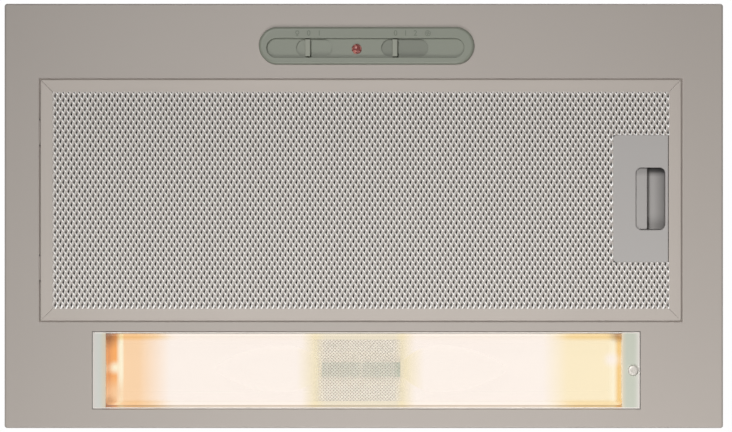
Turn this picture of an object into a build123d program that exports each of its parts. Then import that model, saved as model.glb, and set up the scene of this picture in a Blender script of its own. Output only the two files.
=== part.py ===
from build123d import *
import os
from math import atan2, degrees, sqrt

# A built-in canopy hood of the fan-module kind. Its face panel closes the cut-out in a cabinet floor
# and looks down at the hob. The blower, the lamp and the switches sit in a sheet casing above it.
# Millimetres. Z = 0 is the plane where the panel's hem meets the cabinet, and +Z is up.
# X runs across the hood, and the front edge with the controls lies towards -Y.

# Sheet, wall and clearance sizes that many pieces share
sheet = 1.0
thin_sheet = 0.6
moulding = 1.5
slack = 0.3
box_corner_r = 2.5
run_gap = 0.05
set_gap = 0.02

# Face panel
panel_w = 530.0
panel_d = 313.0
panel_h = 12.0
panel_corner_r = 2.0
panel_edge_r = 1.6
side_margin = 15.0
end_margin = 9.5
hem_gap = 1.0
ledge_w = 8.0
well_edge_r = 0.6

# Where the filter and the lamp cover lie in the panel
filter_left = 26.4
filter_right = 30.8
filter_front = 55.9
lamp_gap = 8.1
lamp_left = 65.1
lamp_right = 61.4
lamp_back = 14.4
cover_d = 56.5

# Casing
corner_flange = 12.0
top_flange = 10.0
foot_w = 7.0
foot_inset = 9.0
fixing_r = 2.5
fixing_spread = 210.0
fixing_z = 9.0
clip_t = 0.8
clip_w = 16.0
clip_spread = 120.0
clip_foot_z = 22.0
clip_h = 52.0
clip_plate_h = 14.0
clip_reach = 9.0
clip_belly = 12.0
clip_toe = 2.0
bead_w = 14.0
bead_h = 1.0
bead_slope = 45.0
end_bead_inset = 55.0
end_bead_low = 58.0
end_bead_step = 60.0
side_bead_inset = 45.0
side_bead_level = 128.0
top_bead_in = 104.0
top_bead_inset = 24.0
top_bead_front = 45.0
top_bead_step = 38.0
top_bead_count = 3

# Sheet-metal screws
screw_r = 1.75
screw_len = 8.0
head_r = 3.6
head_h = 2.0
screw_gap = 0.1
side_screw_spread = 156.0
end_screw_spread = 265.0
throat_screw_spread = 76.0

# Filter cassette
filter_h = 9.0
filter_gap = 0.7
rail_sheet = 0.8
rail_w = 9.4
mesh_t = 0.8
mesh_edge_gap = 0.2
mesh_pitch = 20.0
mesh_row = 16.75
back_pitch = 36.0
back_row = 26.0
mesh_open = 0.64
tongue_w = 18.0
tongue_t = 1.0
tongue_len = 8.0
tongue_spread = 100.0
tongue_play = 1.0

# Filter handle, latch and catch
handle_w = 40.6
handle_d = 94.0
handle_shift = -1.1
handle_r = 3.0
handle_edge_r = 0.5
finger_w = 21.3
finger_d = 45.7
finger_r = 4.0
finger_edge_r = 1.0
finger_right = 2.3
cup_wall = 1.2
spring_len = 7.5
latch_travel = 6.0
latch_t = 1.0
latch_lead = 0.5
tab_w = 8.1
tab_wall = 1.2
catch_t = 0.8
catch_w = 22.0
catch_lap = 4.0
catch_leg = 6.5
bow_t = 0.4
bow_h = 4.0
bow_span = 28.0

# Lamp
cover_t = 1.6
cover_proud = 1.0
cover_gap = 0.6
cover_edge_r = 0.8
flange_left = 9.6
flange_right = 13.3
flange_side = 3.6
skirt_t = 1.5
skirt_h = 7.4
hook_w = 14.0
hook_t = 1.2
hook_len = 13.7
hook_swing = 7.0
tray_gap = 0.8
tray_h = 44.0
tray_corner_r = 4.0
tray_top_r = 8.0
tray_lap = 8.0
tray_front_lap = 3.6
cover_screw_r = 1.9
cover_screw_head_r = 3.9
cover_screw_head_h = 2.0
cover_screw_edge_r = 0.7
cover_screw_inset = 5.2
nut_w = 11.0
nut_h = 4.0
lamp_shift = -3.85
lamp_axis_h = 24.0
bracket_t = 2.0
bracket_w = 24.0
holder_r = 12.0
holder_len = 28.0
socket_depth = 23.0
terminal_strip_w = 11.0
terminal_strip_drop = 2.5
cap_r = 7.0
cap_len = 24.0
cap_out = 3.0
glass_neck_r = 6.8
glass_r = 17.5
glass_bulge = 26.0
glass_len = 76.0
glass_tip_r = 4.0

# Controls
bezel_w = 159.0
bezel_h = 27.7
bezel_shift = 2.05
bezel_front = 17.2
bezel_proud = 3.0
bezel_r = 2.4
bezel_end = 6.85
channel_h = 14.1
channel_shift_x = -0.9
channel_shift_y = 1.65
channel_depth = 2.6
channel_edge_r = 0.6
channel_wall = 1.2
slot_h = 13.1
light_slot = 26.6
light_slot_x = -37.65
light_knob_x = -42.45
light_travel = 7.5
fan_slot = 34.7
fan_slot_x = 29.1
fan_knob_x = 21.75
fan_travel = 15.0
fin_w = 3.6
fin_play = 0.3
fin_proud = 0.6
slider_t = 1.0
slider_lap = 0.5
stem_w = 3.0
stem_d = 6.0
stem_h = 7.5
switch_d = 14.0
switch_wall = 5.0
switch_mouth_z = 6.0
box_margin = 3.5
box_d = 27.0
box_h = 19.0
lens_x = -6.35
lens_y = 0.75
lens_r = 3.85
lens_h = 2.6
lens_edge_r = 2.3
lens_stem_r = 2.1
lens_stem_h = 4.0

# Blower: a double-inlet fan with its axle across the hood
impeller_r = 60.0
impeller_w = 114.0
blade_depth = 9.5
blade_t = 0.8
blade_bow = 2.2
blade_lean = 5.0
blade_count = 32
ring_t = 2.5
hub_disc_x = 8.0
hub_disc_t = 2.0
hub_r = 10.0
hub_len = 14.0
cut_off_gap = 8.0
scroll_step = 8.0
scroll_floor = 10.0
scroll_side_gap = 3.5
throat_d = 79.0
throat_rise = 16.0
inlet_r = 50.0
seam_w = 5.0
scroll_flange = 10.0
shaft_r = 4.0
motor_r = 40.0
cap_depth = 14.0
cap_wall = 2.0
cap_edge_r = 4.5
stack_len = 30.0
stator_bore = 24.0
air_gap = 0.6
winding_r = 36.0
winding_len = 8.0
bearing_r = 9.0
bearing_w = 7.0
bracket_plate_t = 2.5
bracket_ring_w = 10.0
bracket_arm_w = 16.0
bracket_hub_r = 20.0
bracket_arms = 3
bracket_arm_turn = 90.0
capacitor_r = 15.0
capacitor_len = 52.0
capacitor_inset_x = 99.0
capacitor_inset_y = 85.0
strap_t = 1.0
strap_w = 10.0
strap_foot = 44.0

# Terminal box and cable entry
terminal_w = 65.0
terminal_d = 60.0
terminal_h = 38.0
terminal_inset_x = 34.0
terminal_inset_y = 16.0
gland_bore = 4.5
gland_thread_r = 9.0
gland_collar_r = 13.0
gland_collar_h = 6.0
gland_cap_r = 11.0
gland_cap_h = 10.0
gland_edge_r = 3.0
gland_tail = 7.0

# Outlet collar and its non-return flaps
collar_r = 74.5
spigot_r = 59.5
collar_flange_w = 13.5
collar_flange_t = 3.0
collar_h = 22.0
cone_h = 5.0
spigot_h = 32.0
reducer_lap = 8.0
reducer_play = 0.2
collar_screw_count = 4
collar_screw_turn = 45.0
flap_pin_r = 1.0
flap_gap = 2.0
flap_t = 1.2
flap_pin_up = 3.0
knuckle_r = 2.2
knuckle_w = 20.0
knuckle_gap = 0.5
flap_edge_gap = 1.0
stop_w = 6.0
stop_t = 1.5

os.makedirs("parts", exist_ok=True)


def grow(limits, amount):
    """A pair of limits moved apart by an amount at each end."""
    return (limits[0] - amount, limits[1] + amount)


def middle(limits):
    """The point half way between a pair of limits."""
    return (limits[0] + limits[1]) / 2


def around(centre, width):
    """The limits of a width laid evenly about a centre."""
    return (centre - width / 2, centre + width / 2)


def plate(x, y, z, mode=Mode.ADD):
    """A flat piece between X, Y and Z limits, added to the part being built or cut from it."""
    x, y, z = sorted(x), sorted(y), sorted(z)
    with BuildSketch(Plane.XY.offset(z[0])) as outline:
        with Locations((middle(x), middle(y))):
            Rectangle(x[1] - x[0], y[1] - y[0])
    extrude(outline.sketch, amount=z[1] - z[0], mode=mode)


def barrel(plane, radius, along, mode=Mode.ADD):
    """A round length about a plane's own axis, between two limits along that axis."""
    along = sorted(along)
    with BuildSketch(plane.offset(along[0])) as outline:
        Circle(radius)
    extrude(outline.sketch, amount=along[1] - along[0], mode=mode)


def stadium(centre, width, height, z, mode=Mode.ADD):
    """A level piece with round ends, between two levels."""
    with BuildSketch(Plane.XY.offset(z[0])) as outline:
        with Locations(centre):
            SlotOverall(width, height)
    extrude(outline.sketch, amount=z[1] - z[0], mode=mode)


def drill(points, radius, z):
    """Round upright holes at X, Y points, between two levels."""
    with BuildSketch(Plane.XY.offset(z[0])) as holes:
        with Locations(*points):
            Circle(radius)
    extrude(holes.sketch, amount=z[1] - z[0], mode=Mode.SUBTRACT)


def upright(point):
    """A level plane whose axis stands at an X, Y point."""
    return Plane(origin=(point[0], point[1], 0))


def bead(plane, length):
    """A stiffening bead pressed out of a sheet's outer face, with the same hollow behind it."""
    for start, mode in ((0, Mode.ADD), (-sheet, Mode.SUBTRACT)):
        with BuildSketch(plane.offset(start)) as outline:
            SlotOverall(length, bead_w)
        extrude(outline.sketch, amount=bead_h, taper=bead_slope, mode=mode)


def screws(points, seat_z):
    """Pan-head screws that stand on a level seat, with their shanks below it."""
    for point in points:
        barrel(upright(point), head_r, (seat_z, seat_z + head_h))
        barrel(upright(point), screw_r, (seat_z - screw_len, seat_z))


# Levels and outlines that the pieces share
panel_x = around(0, panel_w)
panel_y = around(0, panel_d)
face_z = -panel_h
floor_z = face_z + sheet
casing_x = grow(panel_x, -side_margin)
casing_y = grow(panel_y, -end_margin)
cover_x = (panel_x[0] + lamp_left, panel_x[1] - lamp_right)
cover_y = (panel_y[1] - lamp_back - cover_d, panel_y[1] - lamp_back)
filter_x = (panel_x[0] + filter_left, panel_x[1] - filter_right)
filter_y = (panel_y[0] + filter_front, cover_y[0] - lamp_gap)
well_x = grow(filter_x, filter_gap)
well_y = grow(filter_y, filter_gap)
filter_top = face_z + filter_h
ledge_z = filter_top + slack
ledge_top = ledge_z + sheet

# The scroll's radii grow by equal steps from the cut-off to the throat
fan_reach = impeller_r + cut_off_gap
fan_z = scroll_floor + fan_reach + 2 * scroll_step
scroll_rear = fan_reach + 3 * scroll_step
fan_y = throat_d / 2 - scroll_rear
fan_plane = Plane(origin=(0, fan_y, fan_z), x_dir=(0, 1, 0), z_dir=(1, 0, 0))
casing_top = fan_z + fan_reach + throat_rise
plate_top = casing_top + sheet

# Filter handle and latch places
rail_in_x = grow(filter_x, -rail_w)
rail_in_y = grow(filter_y, -rail_w)
handle_x = (rail_in_x[1] - slack - handle_w, rail_in_x[1] - slack)
handle_y = around(middle(filter_y) + handle_shift, handle_d)
finger_x = (handle_x[1] - finger_right - finger_w, handle_x[1] - finger_right)
finger_y = around(middle(handle_y), finger_d)
latch_y = grow(finger_y, -slack)
latch_z = (ledge_z + catch_t + slack, ledge_z + catch_t + slack + latch_t)
notch_y = grow(latch_y, tongue_play)
tongue_places = [middle(filter_y) + side * tongue_spread / 2 for side in (-1, 1)]

# Lamp places
window_x = (cover_x[0] + flange_left, cover_x[1] - flange_right)
window_y = grow(cover_y, -flange_side)
cover_z = (face_z - cover_proud, face_z - cover_proud + cover_t)
hinge_x = cover_x[0] + cover_edge_r
tray_in_x = grow(window_x, tray_gap)
tray_in_y = grow(window_y, tray_gap)
flange_top = floor_z + sheet
tray_ceiling = floor_z + tray_h - thin_sheet
lamp_x = middle(cover_x) + lamp_shift
lamp_y = middle(cover_y)
lamp_z = floor_z + lamp_axis_h
lamp_plane = Plane(origin=(lamp_x, lamp_y, lamp_z), x_dir=(0, 1, 0), z_dir=(1, 0, 0))
cover_screw_at = (cover_x[1] - cover_screw_inset, lamp_y)

# Control places
bezel_at = (bezel_shift, panel_y[0] + bezel_front + bezel_h / 2)
channel_at = (bezel_at[0] + channel_shift_x, bezel_at[1] + channel_shift_y)
bezel_face = face_z - bezel_proud
channel_floor = (bezel_face + channel_depth, bezel_face + channel_depth + channel_wall)
channel_w = bezel_w - 2 * bezel_end
channel_body_w = channel_w + 2 * channel_wall
channel_body_h = channel_h + 2 * channel_wall
slider_z = (channel_floor[1] + slack, channel_floor[1] + slack + slider_t)
fin_z = (bezel_face - fin_proud, slider_z[0])
box_ceiling = floor_z + box_h - moulding

# Screw places on the top plate
flange_mid_x = casing_x[1] - top_flange / 2
flange_mid_y = casing_y[1] - 2 * sheet - top_flange / 2
side_screws = [(sx * flange_mid_x, y) for sx in (-1, 1) for y in around(0, side_screw_spread)]
end_screws = [(x, sy * flange_mid_y) for sy in (-1, 1) for x in around(0, end_screw_spread)]
casing_screw_points = side_screws + end_screws
scroll_half_w = impeller_w / 2 + scroll_side_gap + moulding
throat_y = around(0, throat_d)
throat_flange_y = throat_d / 2 + scroll_flange / 2
throat_screws_x = around(0, throat_screw_spread)
scroll_screw_points = [(x, sy * throat_flange_y) for sy in (-1, 1) for x in throat_screws_x]
collar_flange_r = collar_r + collar_flange_w
collar_screw_r = (collar_r + collar_flange_r) / 2

# Face panel: a pressed tray with a rolled edge, an in-turned hem and a well for the filter
with BuildPart() as face_panel:
    plate(panel_x, panel_y, (face_z, 0))
    fillet(face_panel.edges().filter_by(Axis.Z), panel_corner_r)
    fillet(face_panel.faces().sort_by(Axis.Z)[0].edges(), panel_edge_r)
    plate(grow(panel_x, -sheet), grow(panel_y, -sheet), (floor_z, -sheet), Mode.SUBTRACT)
    plate(grow(casing_x, hem_gap), grow(casing_y, hem_gap), (-sheet, 0), Mode.SUBTRACT)
    plate(grow(well_x, sheet), grow(well_y, sheet), (floor_z, ledge_top))
    plate(well_x, well_y, (face_z, ledge_z), Mode.SUBTRACT)
    well_rim = face_panel.faces().sort_by(Axis.Z)[0].inner_wires()[0]
    fillet(well_rim.edges(), well_edge_r)
    plate((well_x[0], well_x[1] - ledge_w), grow(well_y, -ledge_w), (ledge_z, ledge_top), Mode.SUBTRACT)
    for place in tongue_places:
        gap_y = around(place, tongue_w + 2 * tongue_play)
        plate((well_x[0] - sheet, well_x[0]), gap_y, (floor_z, ledge_top), Mode.SUBTRACT)
    plate((well_x[1] - ledge_w, well_x[1] + sheet), notch_y, (ledge_z, ledge_top), Mode.SUBTRACT)
    plate(grow(cover_x, cover_gap), grow(cover_y, cover_gap), (face_z, floor_z), Mode.SUBTRACT)
    stadium(
        channel_at,
        channel_body_w + 2 * slack,
        channel_body_h + 2 * slack,
        (face_z, floor_z),
        Mode.SUBTRACT,
    )
face_panel.part.label = "face_panel"
export_step(face_panel.part, "parts/face_panel.step")

# Casing sides: beaded channels whose flanges turn the corners, with a foot on the panel and fixing holes
for side, name in ((-1, "casing_left"), (1, "casing_right")):
    outer = side * casing_x[1]
    with BuildPart() as casing_side:
        plate((outer, outer - side * sheet), casing_y, (floor_z, casing_top))
        for end in (-1, 1):
            corner = end * casing_y[1]
            flange_y = (corner, corner - end * sheet)
            plate((outer, outer - side * corner_flange), flange_y, (floor_z, casing_top))
        top_z = (casing_top - sheet, casing_top)
        plate((outer, outer - side * top_flange), grow(casing_y, -2 * sheet), top_z)
        plate((outer, outer + side * foot_w), grow(casing_y, -foot_inset), (floor_z, floor_z + sheet))
        with BuildSketch(Plane.YZ.offset(outer)):
            with Locations((-fixing_spread / 2, fixing_z), (fixing_spread / 2, fixing_z)):
                Circle(fixing_r)
        extrude(amount=-side * sheet, mode=Mode.SUBTRACT)
        drill(casing_screw_points, screw_r + screw_gap, top_z)
        wall_plane = Plane(origin=(outer, 0, side_bead_level), x_dir=(0, 1, 0), z_dir=(side, 0, 0))
        bead(wall_plane, casing_y[1] - casing_y[0] - 2 * side_bead_inset)
    casing_side.part.label = name
    export_step(casing_side.part, f"parts/{name}.step")

# Casing front and back: beaded walls inside the corner flanges, turned in at the top and out at the foot
for end, name in ((-1, "casing_front"), (1, "casing_back")):
    outer = end * (casing_y[1] - sheet)
    lip_x = grow(casing_x, -sheet - top_flange)
    with BuildPart() as casing_end:
        plate(grow(casing_x, -sheet), (outer, outer - end * sheet), (floor_z, casing_top))
        plate(lip_x, (outer, outer - end * (sheet + top_flange)), (casing_top - sheet, casing_top))
        foot_x = grow(casing_x, -corner_flange - foot_inset)
        plate(foot_x, (outer, outer + end * foot_w), (floor_z, floor_z + sheet))
        drill(casing_screw_points, screw_r + screw_gap, (casing_top - sheet, casing_top))
        for level in (end_bead_low, end_bead_low + end_bead_step):
            wall_plane = Plane(origin=(0, outer, level), x_dir=(1, 0, 0), z_dir=(0, end, 0))
            bead(wall_plane, casing_x[1] - casing_x[0] - 2 * end_bead_inset)
    casing_end.part.label = name
    export_step(casing_end.part, f"parts/{name}.step")

# Terminal box place, under the rear right corner of the top plate
terminal_x = (casing_x[1] - terminal_inset_x - terminal_w, casing_x[1] - terminal_inset_x)
terminal_y = (casing_y[1] - terminal_inset_y - terminal_d, casing_y[1] - terminal_inset_y)
gland_at = (middle(terminal_x), middle(terminal_y))

# Top plate: closes the casing, open above the scroll's throat, with rows of beads beside the collar
with BuildPart() as top_plate:
    plate(casing_x, casing_y, (casing_top, plate_top))
    throat_x = around(0, 2 * (scroll_half_w - moulding))
    plate(throat_x, grow(throat_y, -moulding), (casing_top, plate_top), Mode.SUBTRACT)
    drill(casing_screw_points + scroll_screw_points, screw_r + screw_gap, (casing_top, plate_top))
    with BuildSketch(Plane.XY.offset(casing_top)):
        with PolarLocations(collar_screw_r, collar_screw_count, start_angle=collar_screw_turn):
            Circle(screw_r + screw_gap)
    extrude(amount=sheet, mode=Mode.SUBTRACT)
    drill([gland_at], gland_thread_r + slack, (casing_top, plate_top))
    bead_x = (top_bead_in, casing_x[1] - top_bead_inset)
    for side in (-1, 1):
        for row in range(top_bead_count):
            row_y = casing_y[0] + top_bead_front + row * top_bead_step
            bead(Plane(origin=(side * middle(bead_x), row_y, plate_top)), bead_x[1] - bead_x[0])
top_plate.part.label = "top_plate"
export_step(top_plate.part, "parts/top_plate.step")

with BuildPart() as casing_screws:
    screws(casing_screw_points, plate_top)
casing_screws.part.label = "casing_screws"
export_step(casing_screws.part, "parts/casing_screws.step")

# Mounting clips: bowed leaves on the casing sides that snap over the cabinet board
clip_path = [(0, clip_h), (0, clip_h - clip_plate_h), (clip_reach, clip_belly), (clip_toe, 0)]
with BuildPart() as mounting_clips:
    for side in (-1, 1):
        wall = side * (casing_x[1] + clip_t / 2)
        for place in around(0, clip_spread):
            with BuildSketch(Plane.XZ.offset(-place)):
                with BuildLine():
                    Polyline(*[(wall + side * out, clip_foot_z + up) for out, up in clip_path])
                trace(line_width=clip_t)
            extrude(amount=clip_w / 2, both=True)
mounting_clips.part.label = "mounting_clips"
export_step(mounting_clips.part, "parts/mounting_clips.step")

# Filter rails: one folded channel, mitred into four
def rail_wedge(side):
    """The trapezium that one mitred rail fills, seen from above."""
    x, y = filter_x, filter_y
    in_x, in_y = rail_in_x, rail_in_y
    corners = {
        "left": ((x[0], y[0]), (in_x[0], in_y[0]), (in_x[0], in_y[1]), (x[0], y[1])),
        "right": ((x[1], y[0]), (x[1], y[1]), (in_x[1], in_y[1]), (in_x[1], in_y[0])),
        "front": ((x[0], y[0]), (x[1], y[0]), (in_x[1], in_y[0]), (in_x[0], in_y[0])),
        "back": ((x[0], y[1]), (in_x[0], in_y[1]), (in_x[1], in_y[1]), (x[1], y[1])),
    }
    with BuildSketch(Plane.XY.offset(face_z)) as outline:
        with BuildLine():
            Polyline(*corners[side], close=True)
        make_face()
    return outline.sketch


groove_z = (face_z + rail_sheet, filter_top - rail_sheet)
for side in ("left", "right", "front", "back"):
    with BuildPart() as filter_rail:
        extrude(rail_wedge(side), amount=filter_h)
        plate(grow(filter_x, -rail_sheet), grow(filter_y, -rail_sheet), groove_z, Mode.SUBTRACT)
        outer_edge = filter_rail.faces().sort_by(Axis.Z)[0].edges().sort_by(SortBy.LENGTH)[-1]
        fillet(outer_edge, rail_sheet)
        if side == "left":
            tongue_z = (floor_z + slack, floor_z + slack + tongue_t)
            for place in tongue_places:
                tongue_x = (filter_x[0] - tongue_len, filter_x[0] + rail_sheet)
                plate(tongue_x, around(place, tongue_w), tongue_z)
    filter_rail.part.label = f"filter_rail_{side}"
    export_step(filter_rail.part, f"parts/filter_rail_{side}.step")

# Filter layers: expanded metal in front and behind, wool between, all cut round the handle.
# Behind the handle's plate the cut is open to the right edge, so the layers slide in past the cup.
layer_x = grow(filter_x, -rail_sheet - mesh_edge_gap)
layer_y = grow(filter_y, -rail_sheet - mesh_edge_gap)
spring_room = spring_len + latch_travel
cup_x = (finger_x[0] - spring_room - cup_wall, finger_x[1] + cup_wall)
cup_y = grow(finger_y, cup_wall)
front_mesh_z = (groove_z[0], groove_z[0] + mesh_t)
back_mesh_z = (groove_z[1] - mesh_t, groove_z[1])


def mesh_points(pitch, row, keep_out_x, keep_out_y):
    """Centres of staggered diamond openings inside the rails and clear of the handle."""
    points = []
    columns = int((rail_in_x[1] - rail_in_x[0]) / pitch)
    rows = int((rail_in_y[1] - rail_in_y[0]) / row)
    for j in range(rows):
        for i in range(columns):
            x = middle(rail_in_x) + (i - (columns - 1) / 2 + (j % 2) / 2 - 0.25) * pitch
            y = middle(rail_in_y) + (j - (rows - 1) / 2) * row
            beside_x = abs(x - middle(keep_out_x)) > (keep_out_x[1] - keep_out_x[0] + pitch) / 2
            beside_y = abs(y - middle(keep_out_y)) > (keep_out_y[1] - keep_out_y[0]) / 2 + row
            if beside_x or beside_y:
                points.append((x, y))
    return points


def mesh_layer(pitch, row, z, cut_x, cut_y):
    """One holed sheet of expanded metal."""
    with BuildSketch(Plane.XY.offset(z[0])) as net:
        with Locations((middle(layer_x), middle(layer_y))):
            Rectangle(layer_x[1] - layer_x[0], layer_y[1] - layer_y[0])
        with Locations((middle(cut_x), middle(cut_y))):
            Rectangle(cut_x[1] - cut_x[0], cut_y[1] - cut_y[0], mode=Mode.SUBTRACT)
        half_w = mesh_open * pitch / 2
        half_h = mesh_open * row
        with Locations(*mesh_points(pitch, row, cut_x, cut_y)):
            Polygon((half_w, 0), (0, half_h), (-half_w, 0), (0, -half_h), mode=Mode.SUBTRACT)
    extrude(net.sketch, amount=z[1] - z[0])


handle_cut_x = grow(handle_x, slack)
handle_cut_y = grow(handle_y, slack)
cup_cut_x = (cup_x[0] - slack, layer_x[1] + slack)
cup_cut_y = grow(cup_y, slack)

with BuildPart() as filter_mesh:
    mesh_layer(mesh_pitch, mesh_row, front_mesh_z, handle_cut_x, handle_cut_y)
filter_mesh.part.label = "filter_mesh"
export_step(filter_mesh.part, "parts/filter_mesh.step")

with BuildPart() as filter_media:
    plate(layer_x, layer_y, (front_mesh_z[1], back_mesh_z[0]))
    plate(cup_cut_x, cup_cut_y, (front_mesh_z[1], back_mesh_z[0]), Mode.SUBTRACT)
filter_media.part.label = "filter_media"
export_step(filter_media.part, "parts/filter_media.step")

with BuildPart() as filter_back_mesh:
    mesh_layer(back_pitch, back_row, back_mesh_z, cup_cut_x, cup_cut_y)
filter_back_mesh.part.label = "filter_back_mesh"
export_step(filter_back_mesh.part, "parts/filter_back_mesh.step")

# Filter handle: a flush plate with a finger cup that reaches up through the layers
roof_z = (latch_z[1] + slack, latch_z[1] + slack + cup_wall)
cup_in_x = grow(cup_x, -cup_wall)
with BuildPart() as filter_handle:
    plate(handle_x, handle_y, (face_z, front_mesh_z[1]))
    left_corners = filter_handle.edges().filter_by(Axis.Z).group_by(Axis.X)[0]
    fillet(left_corners, handle_r)
    fillet(filter_handle.faces().sort_by(Axis.Z)[0].edges(), handle_edge_r)
    plate(cup_x, cup_y, (front_mesh_z[1], roof_z[1]))
    plate(cup_in_x, finger_y, (front_mesh_z[1], roof_z[0]), Mode.SUBTRACT)
    with BuildSketch(Plane.XY.offset(face_z)):
        with Locations((middle(finger_x), middle(finger_y))):
            RectangleRounded(finger_w, finger_d, finger_r)
    extrude(amount=front_mesh_z[1] - face_z, mode=Mode.SUBTRACT)
    finger_rim = filter_handle.faces().sort_by(Axis.Z)[0].inner_wires()[0]
    fillet(finger_rim.edges(), finger_edge_r)
    slot_z = (latch_z[0] - slack, roof_z[0])
    plate((cup_x[1] - cup_wall, cup_x[1]), grow(latch_y, slack), slot_z, Mode.SUBTRACT)
filter_handle.part.label = "filter_handle"
export_step(filter_handle.part, "parts/filter_handle.step")

# Latch slide: a hollow tab that the finger pulls, and a wide tongue that reaches over the catch
tab_x = (finger_x[0], finger_x[0] + tab_w)
tab_z = (front_mesh_z[1] + slack, latch_z[1])
nose_x = well_x[1] - 2 * slack
with BuildPart() as latch_slide:
    plate(tab_x, latch_y, tab_z)
    hollow_z = (tab_z[0] + tab_wall, tab_z[1])
    plate(grow(tab_x, -tab_wall), grow(latch_y, -tab_wall), hollow_z, Mode.SUBTRACT)
    plate((tab_x[1] - tab_wall, nose_x), latch_y, latch_z)
    nose_edges = latch_slide.edges().filter_by(Axis.Y).group_by(Axis.X)[-1].sort_by(Axis.Z)
    chamfer(nose_edges[0], latch_lead)
latch_slide.part.label = "latch_slide"
export_step(latch_slide.part, "parts/latch_slide.step")

# Latch spring: a bowed leaf between the cup's end wall and the tab
bow_mid_y = middle(finger_y)
with BuildPart() as latch_spring:
    with BuildSketch(Plane.XY.offset(tab_z[0] + tab_wall)):
        with BuildLine():
            back_x = cup_in_x[0] + bow_t
            ThreePointArc(
                (back_x, bow_mid_y - bow_span / 2),
                (tab_x[0] - bow_t, bow_mid_y),
                (back_x, bow_mid_y + bow_span / 2),
            )
        trace(line_width=bow_t)
    extrude(amount=bow_h)
latch_spring.part.label = "latch_spring"
export_step(latch_spring.part, "parts/latch_spring.step")

# Filter catch: a leaf hooked over the well wall, under the latch's nose
catch_y = around(middle(latch_y), catch_w)
with BuildPart() as filter_catch_spring:
    leaf_x = (nose_x - catch_lap, well_x[1] + sheet + catch_t)
    plate(leaf_x, catch_y, (ledge_z, ledge_z + catch_t))
    plate((leaf_x[1] - catch_t, leaf_x[1]), catch_y, (ledge_z - catch_leg, ledge_z))
filter_catch_spring.part.label = "filter_catch_spring"
export_step(filter_catch_spring.part, "parts/filter_catch_spring.step")

# Lamp tray: a drawn reflector with a flange that also stops the cover
hook_y = around(lamp_y, hook_w)
with BuildPart() as lamp_tray:
    plate(grow(tray_in_x, thin_sheet), grow(tray_in_y, thin_sheet), (floor_z, floor_z + tray_h))
    fillet(lamp_tray.edges().filter_by(Axis.Z), tray_corner_r)
    fillet(lamp_tray.faces().sort_by(Axis.Z)[-1].edges(), tray_top_r)
    offset(amount=-thin_sheet, openings=lamp_tray.faces().sort_by(Axis.Z)[0])
    rim_x = grow(cover_x, cover_gap + tray_lap)
    rim_y = (cover_y[0] - cover_gap - tray_front_lap, casing_y[1] - 2 * sheet - slack)
    plate(rim_x, rim_y, (floor_z, flange_top))
    plate(tray_in_x, tray_in_y, (floor_z, flange_top), Mode.SUBTRACT)
    gap_x = (hinge_x - 2 * slack, tray_in_x[0] + 2 * thin_sheet)
    gap_z = (floor_z, flange_top + hook_t + hook_swing)
    plate(gap_x, grow(hook_y, tongue_play), gap_z, Mode.SUBTRACT)
    drill([cover_screw_at], cover_screw_r + 2 * slack, (floor_z, flange_top))
lamp_tray.part.label = "lamp_tray"
export_step(lamp_tray.part, "parts/lamp_tray.step")

# Lamp cover: a clear lens plate with a skirt, hooked in at the left and screwed at the right
hook_z = (flange_top + slack, flange_top + slack + hook_t)
skirt_r = tray_corner_r - thin_sheet - tray_gap
with BuildPart() as lamp_cover:
    plate(cover_x, cover_y, cover_z)
    low_edges = lamp_cover.faces().sort_by(Axis.Z)[0].edges()
    fillet(low_edges, cover_edge_r)
    with BuildSketch(Plane.XY.offset(cover_z[1])):
        with Locations((middle(window_x), middle(window_y))):
            RectangleRounded(window_x[1] - window_x[0], window_y[1] - window_y[0], skirt_r)
        offset(amount=-skirt_t, mode=Mode.SUBTRACT)
    extrude(amount=skirt_h)
    plate((window_x[0] - hook_len, window_x[0] + skirt_t), hook_y, hook_z)
    drill([cover_screw_at], cover_screw_r + slack, cover_z)
lamp_cover.part.label = "lamp_cover"
export_step(lamp_cover.part, "parts/lamp_cover.step")

# Cover screw: a round head below the cover and a shank up into the nut
screw_plane = upright(cover_screw_at)
with BuildPart() as cover_screw:
    barrel(screw_plane, cover_screw_head_r, (cover_z[0] - cover_screw_head_h, cover_z[0]))
    fillet(cover_screw.faces().sort_by(Axis.Z)[0].edges(), cover_screw_edge_r)
    barrel(screw_plane, cover_screw_r, (cover_z[0], flange_top + nut_h))
cover_screw.part.label = "cover_screw"
export_step(cover_screw.part, "parts/cover_screw.step")

with BuildPart() as cover_nut:
    nut_z = (flange_top, flange_top + nut_h)
    plate(around(cover_screw_at[0], nut_w), around(cover_screw_at[1], nut_w), nut_z)
    drill([cover_screw_at], cover_screw_r + slack, nut_z)
cover_nut.part.label = "cover_nut"
export_step(cover_nut.part, "parts/cover_nut.step")

# Lamp holder bracket: a tee that hangs from the tray's ceiling between the two holders
with BuildPart() as lamp_holder_bracket:
    blade_x = around(lamp_x, bracket_t)
    plate(blade_x, around(lamp_y, bracket_w), (lamp_z - holder_r, tray_ceiling))
    plate(around(lamp_x, bracket_w), around(lamp_y, bracket_w), (tray_ceiling - sheet, tray_ceiling))
lamp_holder_bracket.part.label = "lamp_holder_bracket"
export_step(lamp_holder_bracket.part, "parts/lamp_holder_bracket.step")

# The bulb's outline: one arc swells to the bulge, and a wide one leans in until it meets the round tip
tip_x = glass_len - glass_tip_r
tip_run = tip_x - glass_bulge
lean_r = (tip_run**2 + glass_r**2 - glass_tip_r**2) / (2 * (glass_r - glass_tip_r))
tip_turn = degrees(atan2(lean_r - glass_r, tip_run))

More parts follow.
